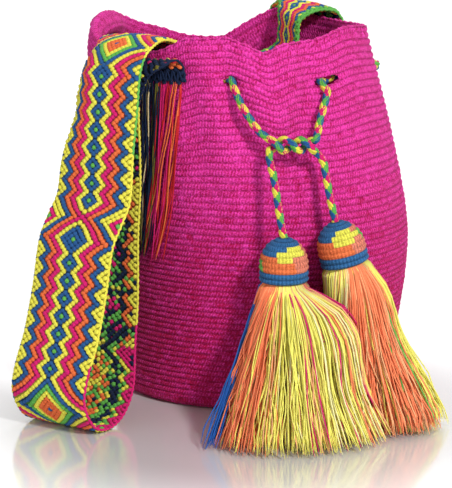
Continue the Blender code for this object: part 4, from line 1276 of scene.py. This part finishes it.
def add_skirt(side, cap, reach, finishes, seed):
    """Loose strands from inside a cap to their ends on the ground."""
    random = np.random.default_rng(seed)
    matrix = cap_frame(cap)
    neck = np.array(matrix.translation)
    azimuth, weight, depth, colour, kicked = scattered(side, reach, random)
    strands = len(azimuth)
    direction = outward(azimuth - np.where(kicked < 0, LOCK_TURN, 0))

    def at_cap(radius, up):
        """Points of the strands at a radius and height in the cap."""
        level = direction * (radius * np.minimum(depth, 1.0))[:, None]
        return moved(matrix, level + np.array((0.0, 0.0, up)))

    inside, edge = at_cap(0.0125, CAP_EDGE + 0.008), at_cap(0.0160, CAP_EDGE + 0.0005)
    shoulder = at_cap(0.0205, CAP_EDGE - 0.0045)
    clump = np.round(azimuth / CLUMP_WIDTH + 0.3 * np.sin(azimuth)) * CLUMP_WIDTH
    landing = outward(azimuth + CLUMP_PULL * (clump - azimuth) + random.normal(0, 1.6, strands))
    trim = random.uniform(0.90, 1.0, strands)
    foot = np.array((neck[0], neck[1], 0.0)) + landing * (weight * depth * trim)[:, None]
    foot[:, 2] = random.uniform(*STRAND_ENDS, strands)
    share = np.linspace(0, 1, 13)[None, :]
    down = share ** 1.15
    bell = np.interp(down, *zip(*SKIRT_BELL[side]))
    plain = down ** random.uniform(0.78, 0.98, strands)[:, None]
    mix = np.clip(kicked, 0, 1)[:, None]
    out = plain * (1 - mix) + bell * mix
    out = np.where(kicked[:, None] < 0, down ** 1.12, out)
    path = shoulder[:, None] + (foot - shoulder)[:, None] * out[..., None]
    path[..., 2] = shoulder[:, None, 2] + (foot - shoulder)[:, None, 2] * down
    path = swayed(path, direction, share[..., None], random)
    path = np.concatenate([inside[:, None], edge[:, None], path], axis=1)
    path[..., 2] = np.maximum(path[..., 2], STRAND_LOWEST)
    points, quads = tubes(path, STRAND_RADIUS, 3, direction[:, None])
    piece = add_mesh(f"skirt_{side}", points, [quads], finishes, np.repeat(colour, len(quads) // strands))
    carried(piece, f"{side}_strands", f"tassel_skirt_{side}")


# Light and floor

def add_light(name, place, target, size, power):
    """Soft square lamp that looks at a point."""
    data = bpy.data.lights.new(name, "AREA")
    data.shape = "SQUARE"
    data.size = size
    data.energy = power
    lamp = add_object(name, data)
    lamp.location = place
    lamp.rotation_euler = (Vector(target) - Vector(place)).to_track_quat("-Z", "Y").to_euler()


def add_surroundings():
    """White table, white world and soft lamps."""
    size = TABLE_HALF_SIZE
    floor = add_mesh("table", [(-size, -size, 0), (size, -size, 0), (size, size, 0), (-size, size, 0)],
                     [np.array([[0, 1, 2, 3]])], [floor_finish()])
    floor.location.z = -TABLE_DROP
    light_world()
    for lamp in LAMPS:
        add_light(*lamp)


# Everything

def build():
    """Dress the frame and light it."""
    bpy.context.scene.view_settings.view_transform = "Standard"
    add_camera()
    plain = {name: yarn(f"{name}_yarn", colour) for name, colour in YARNS.items()}
    add_drawstring([plain[name] for name in CORD_YARNS])
    add_body(yarn("magenta_crochet", MAGENTA, fibre=700, patch=110, bump=0.0011, contrast=3.2,
                  groove_shade=GROOVE_SHADE_MAGENTA, shades=MAGENTA_SHADES))
    # Painted shade: the knots' yarns at 0.30 of their brightness, for the cloth under and between the
    # knots
    shaded = [yarn(f"shaded_under_{name}", [0.30 * channel for channel in YARNS[name]]) for name in WEAVE_YARNS]
    add_strap([plain[name] for name in WEAVE_YARNS], shaded)
    add_seams(plain["navy"])
    loose = [plain[name] for name in FRINGE_YARNS]
    add_fringe("strap_fringe_left", True, -15, 0.40, loose, LEFT_FRINGE, 3)
    add_fringe("strap_fringe_right", False, 3, 0.24, loose, RIGHT_FRINGE, 4)
    # The caps' yarns, with painted shade in their grooves at 0.12 of the yarn
    caps = [yarn(f"cap_{name}", colour, fibre=800, bump=0.0008, groove_shade=[c * 0.12 for c in colour],
                 shades=shades_of(colour, 0.50, 1.30, 0.02), contrast=2.4)
            for name, colour in CAP_YARNS.items()]
    strands = [yarn(f"loose_{name}", colour, fibre=1300, bump=0.0003, contrast=1.3,
                    shades=shades_of(colour, 0.92, 1.20)) for name, colour in STRAND_YARNS.items()]
    for side, cap, reach, seed in (("left", LEFT_CAP, LEFT_REACH, 11),
                                   ("right", RIGHT_CAP, RIGHT_REACH, 12)):
        add_cap(side, cap, caps)
        add_skirt(side, cap, reach, strands, seed)
        for node, shade in ((f"drawstring_knot_{side}", "green"), (f"tassel_binding_{side}", "yellow")):
            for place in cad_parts[node].material_slots:
                place.material = plain[shade]
    add_surroundings()


build()
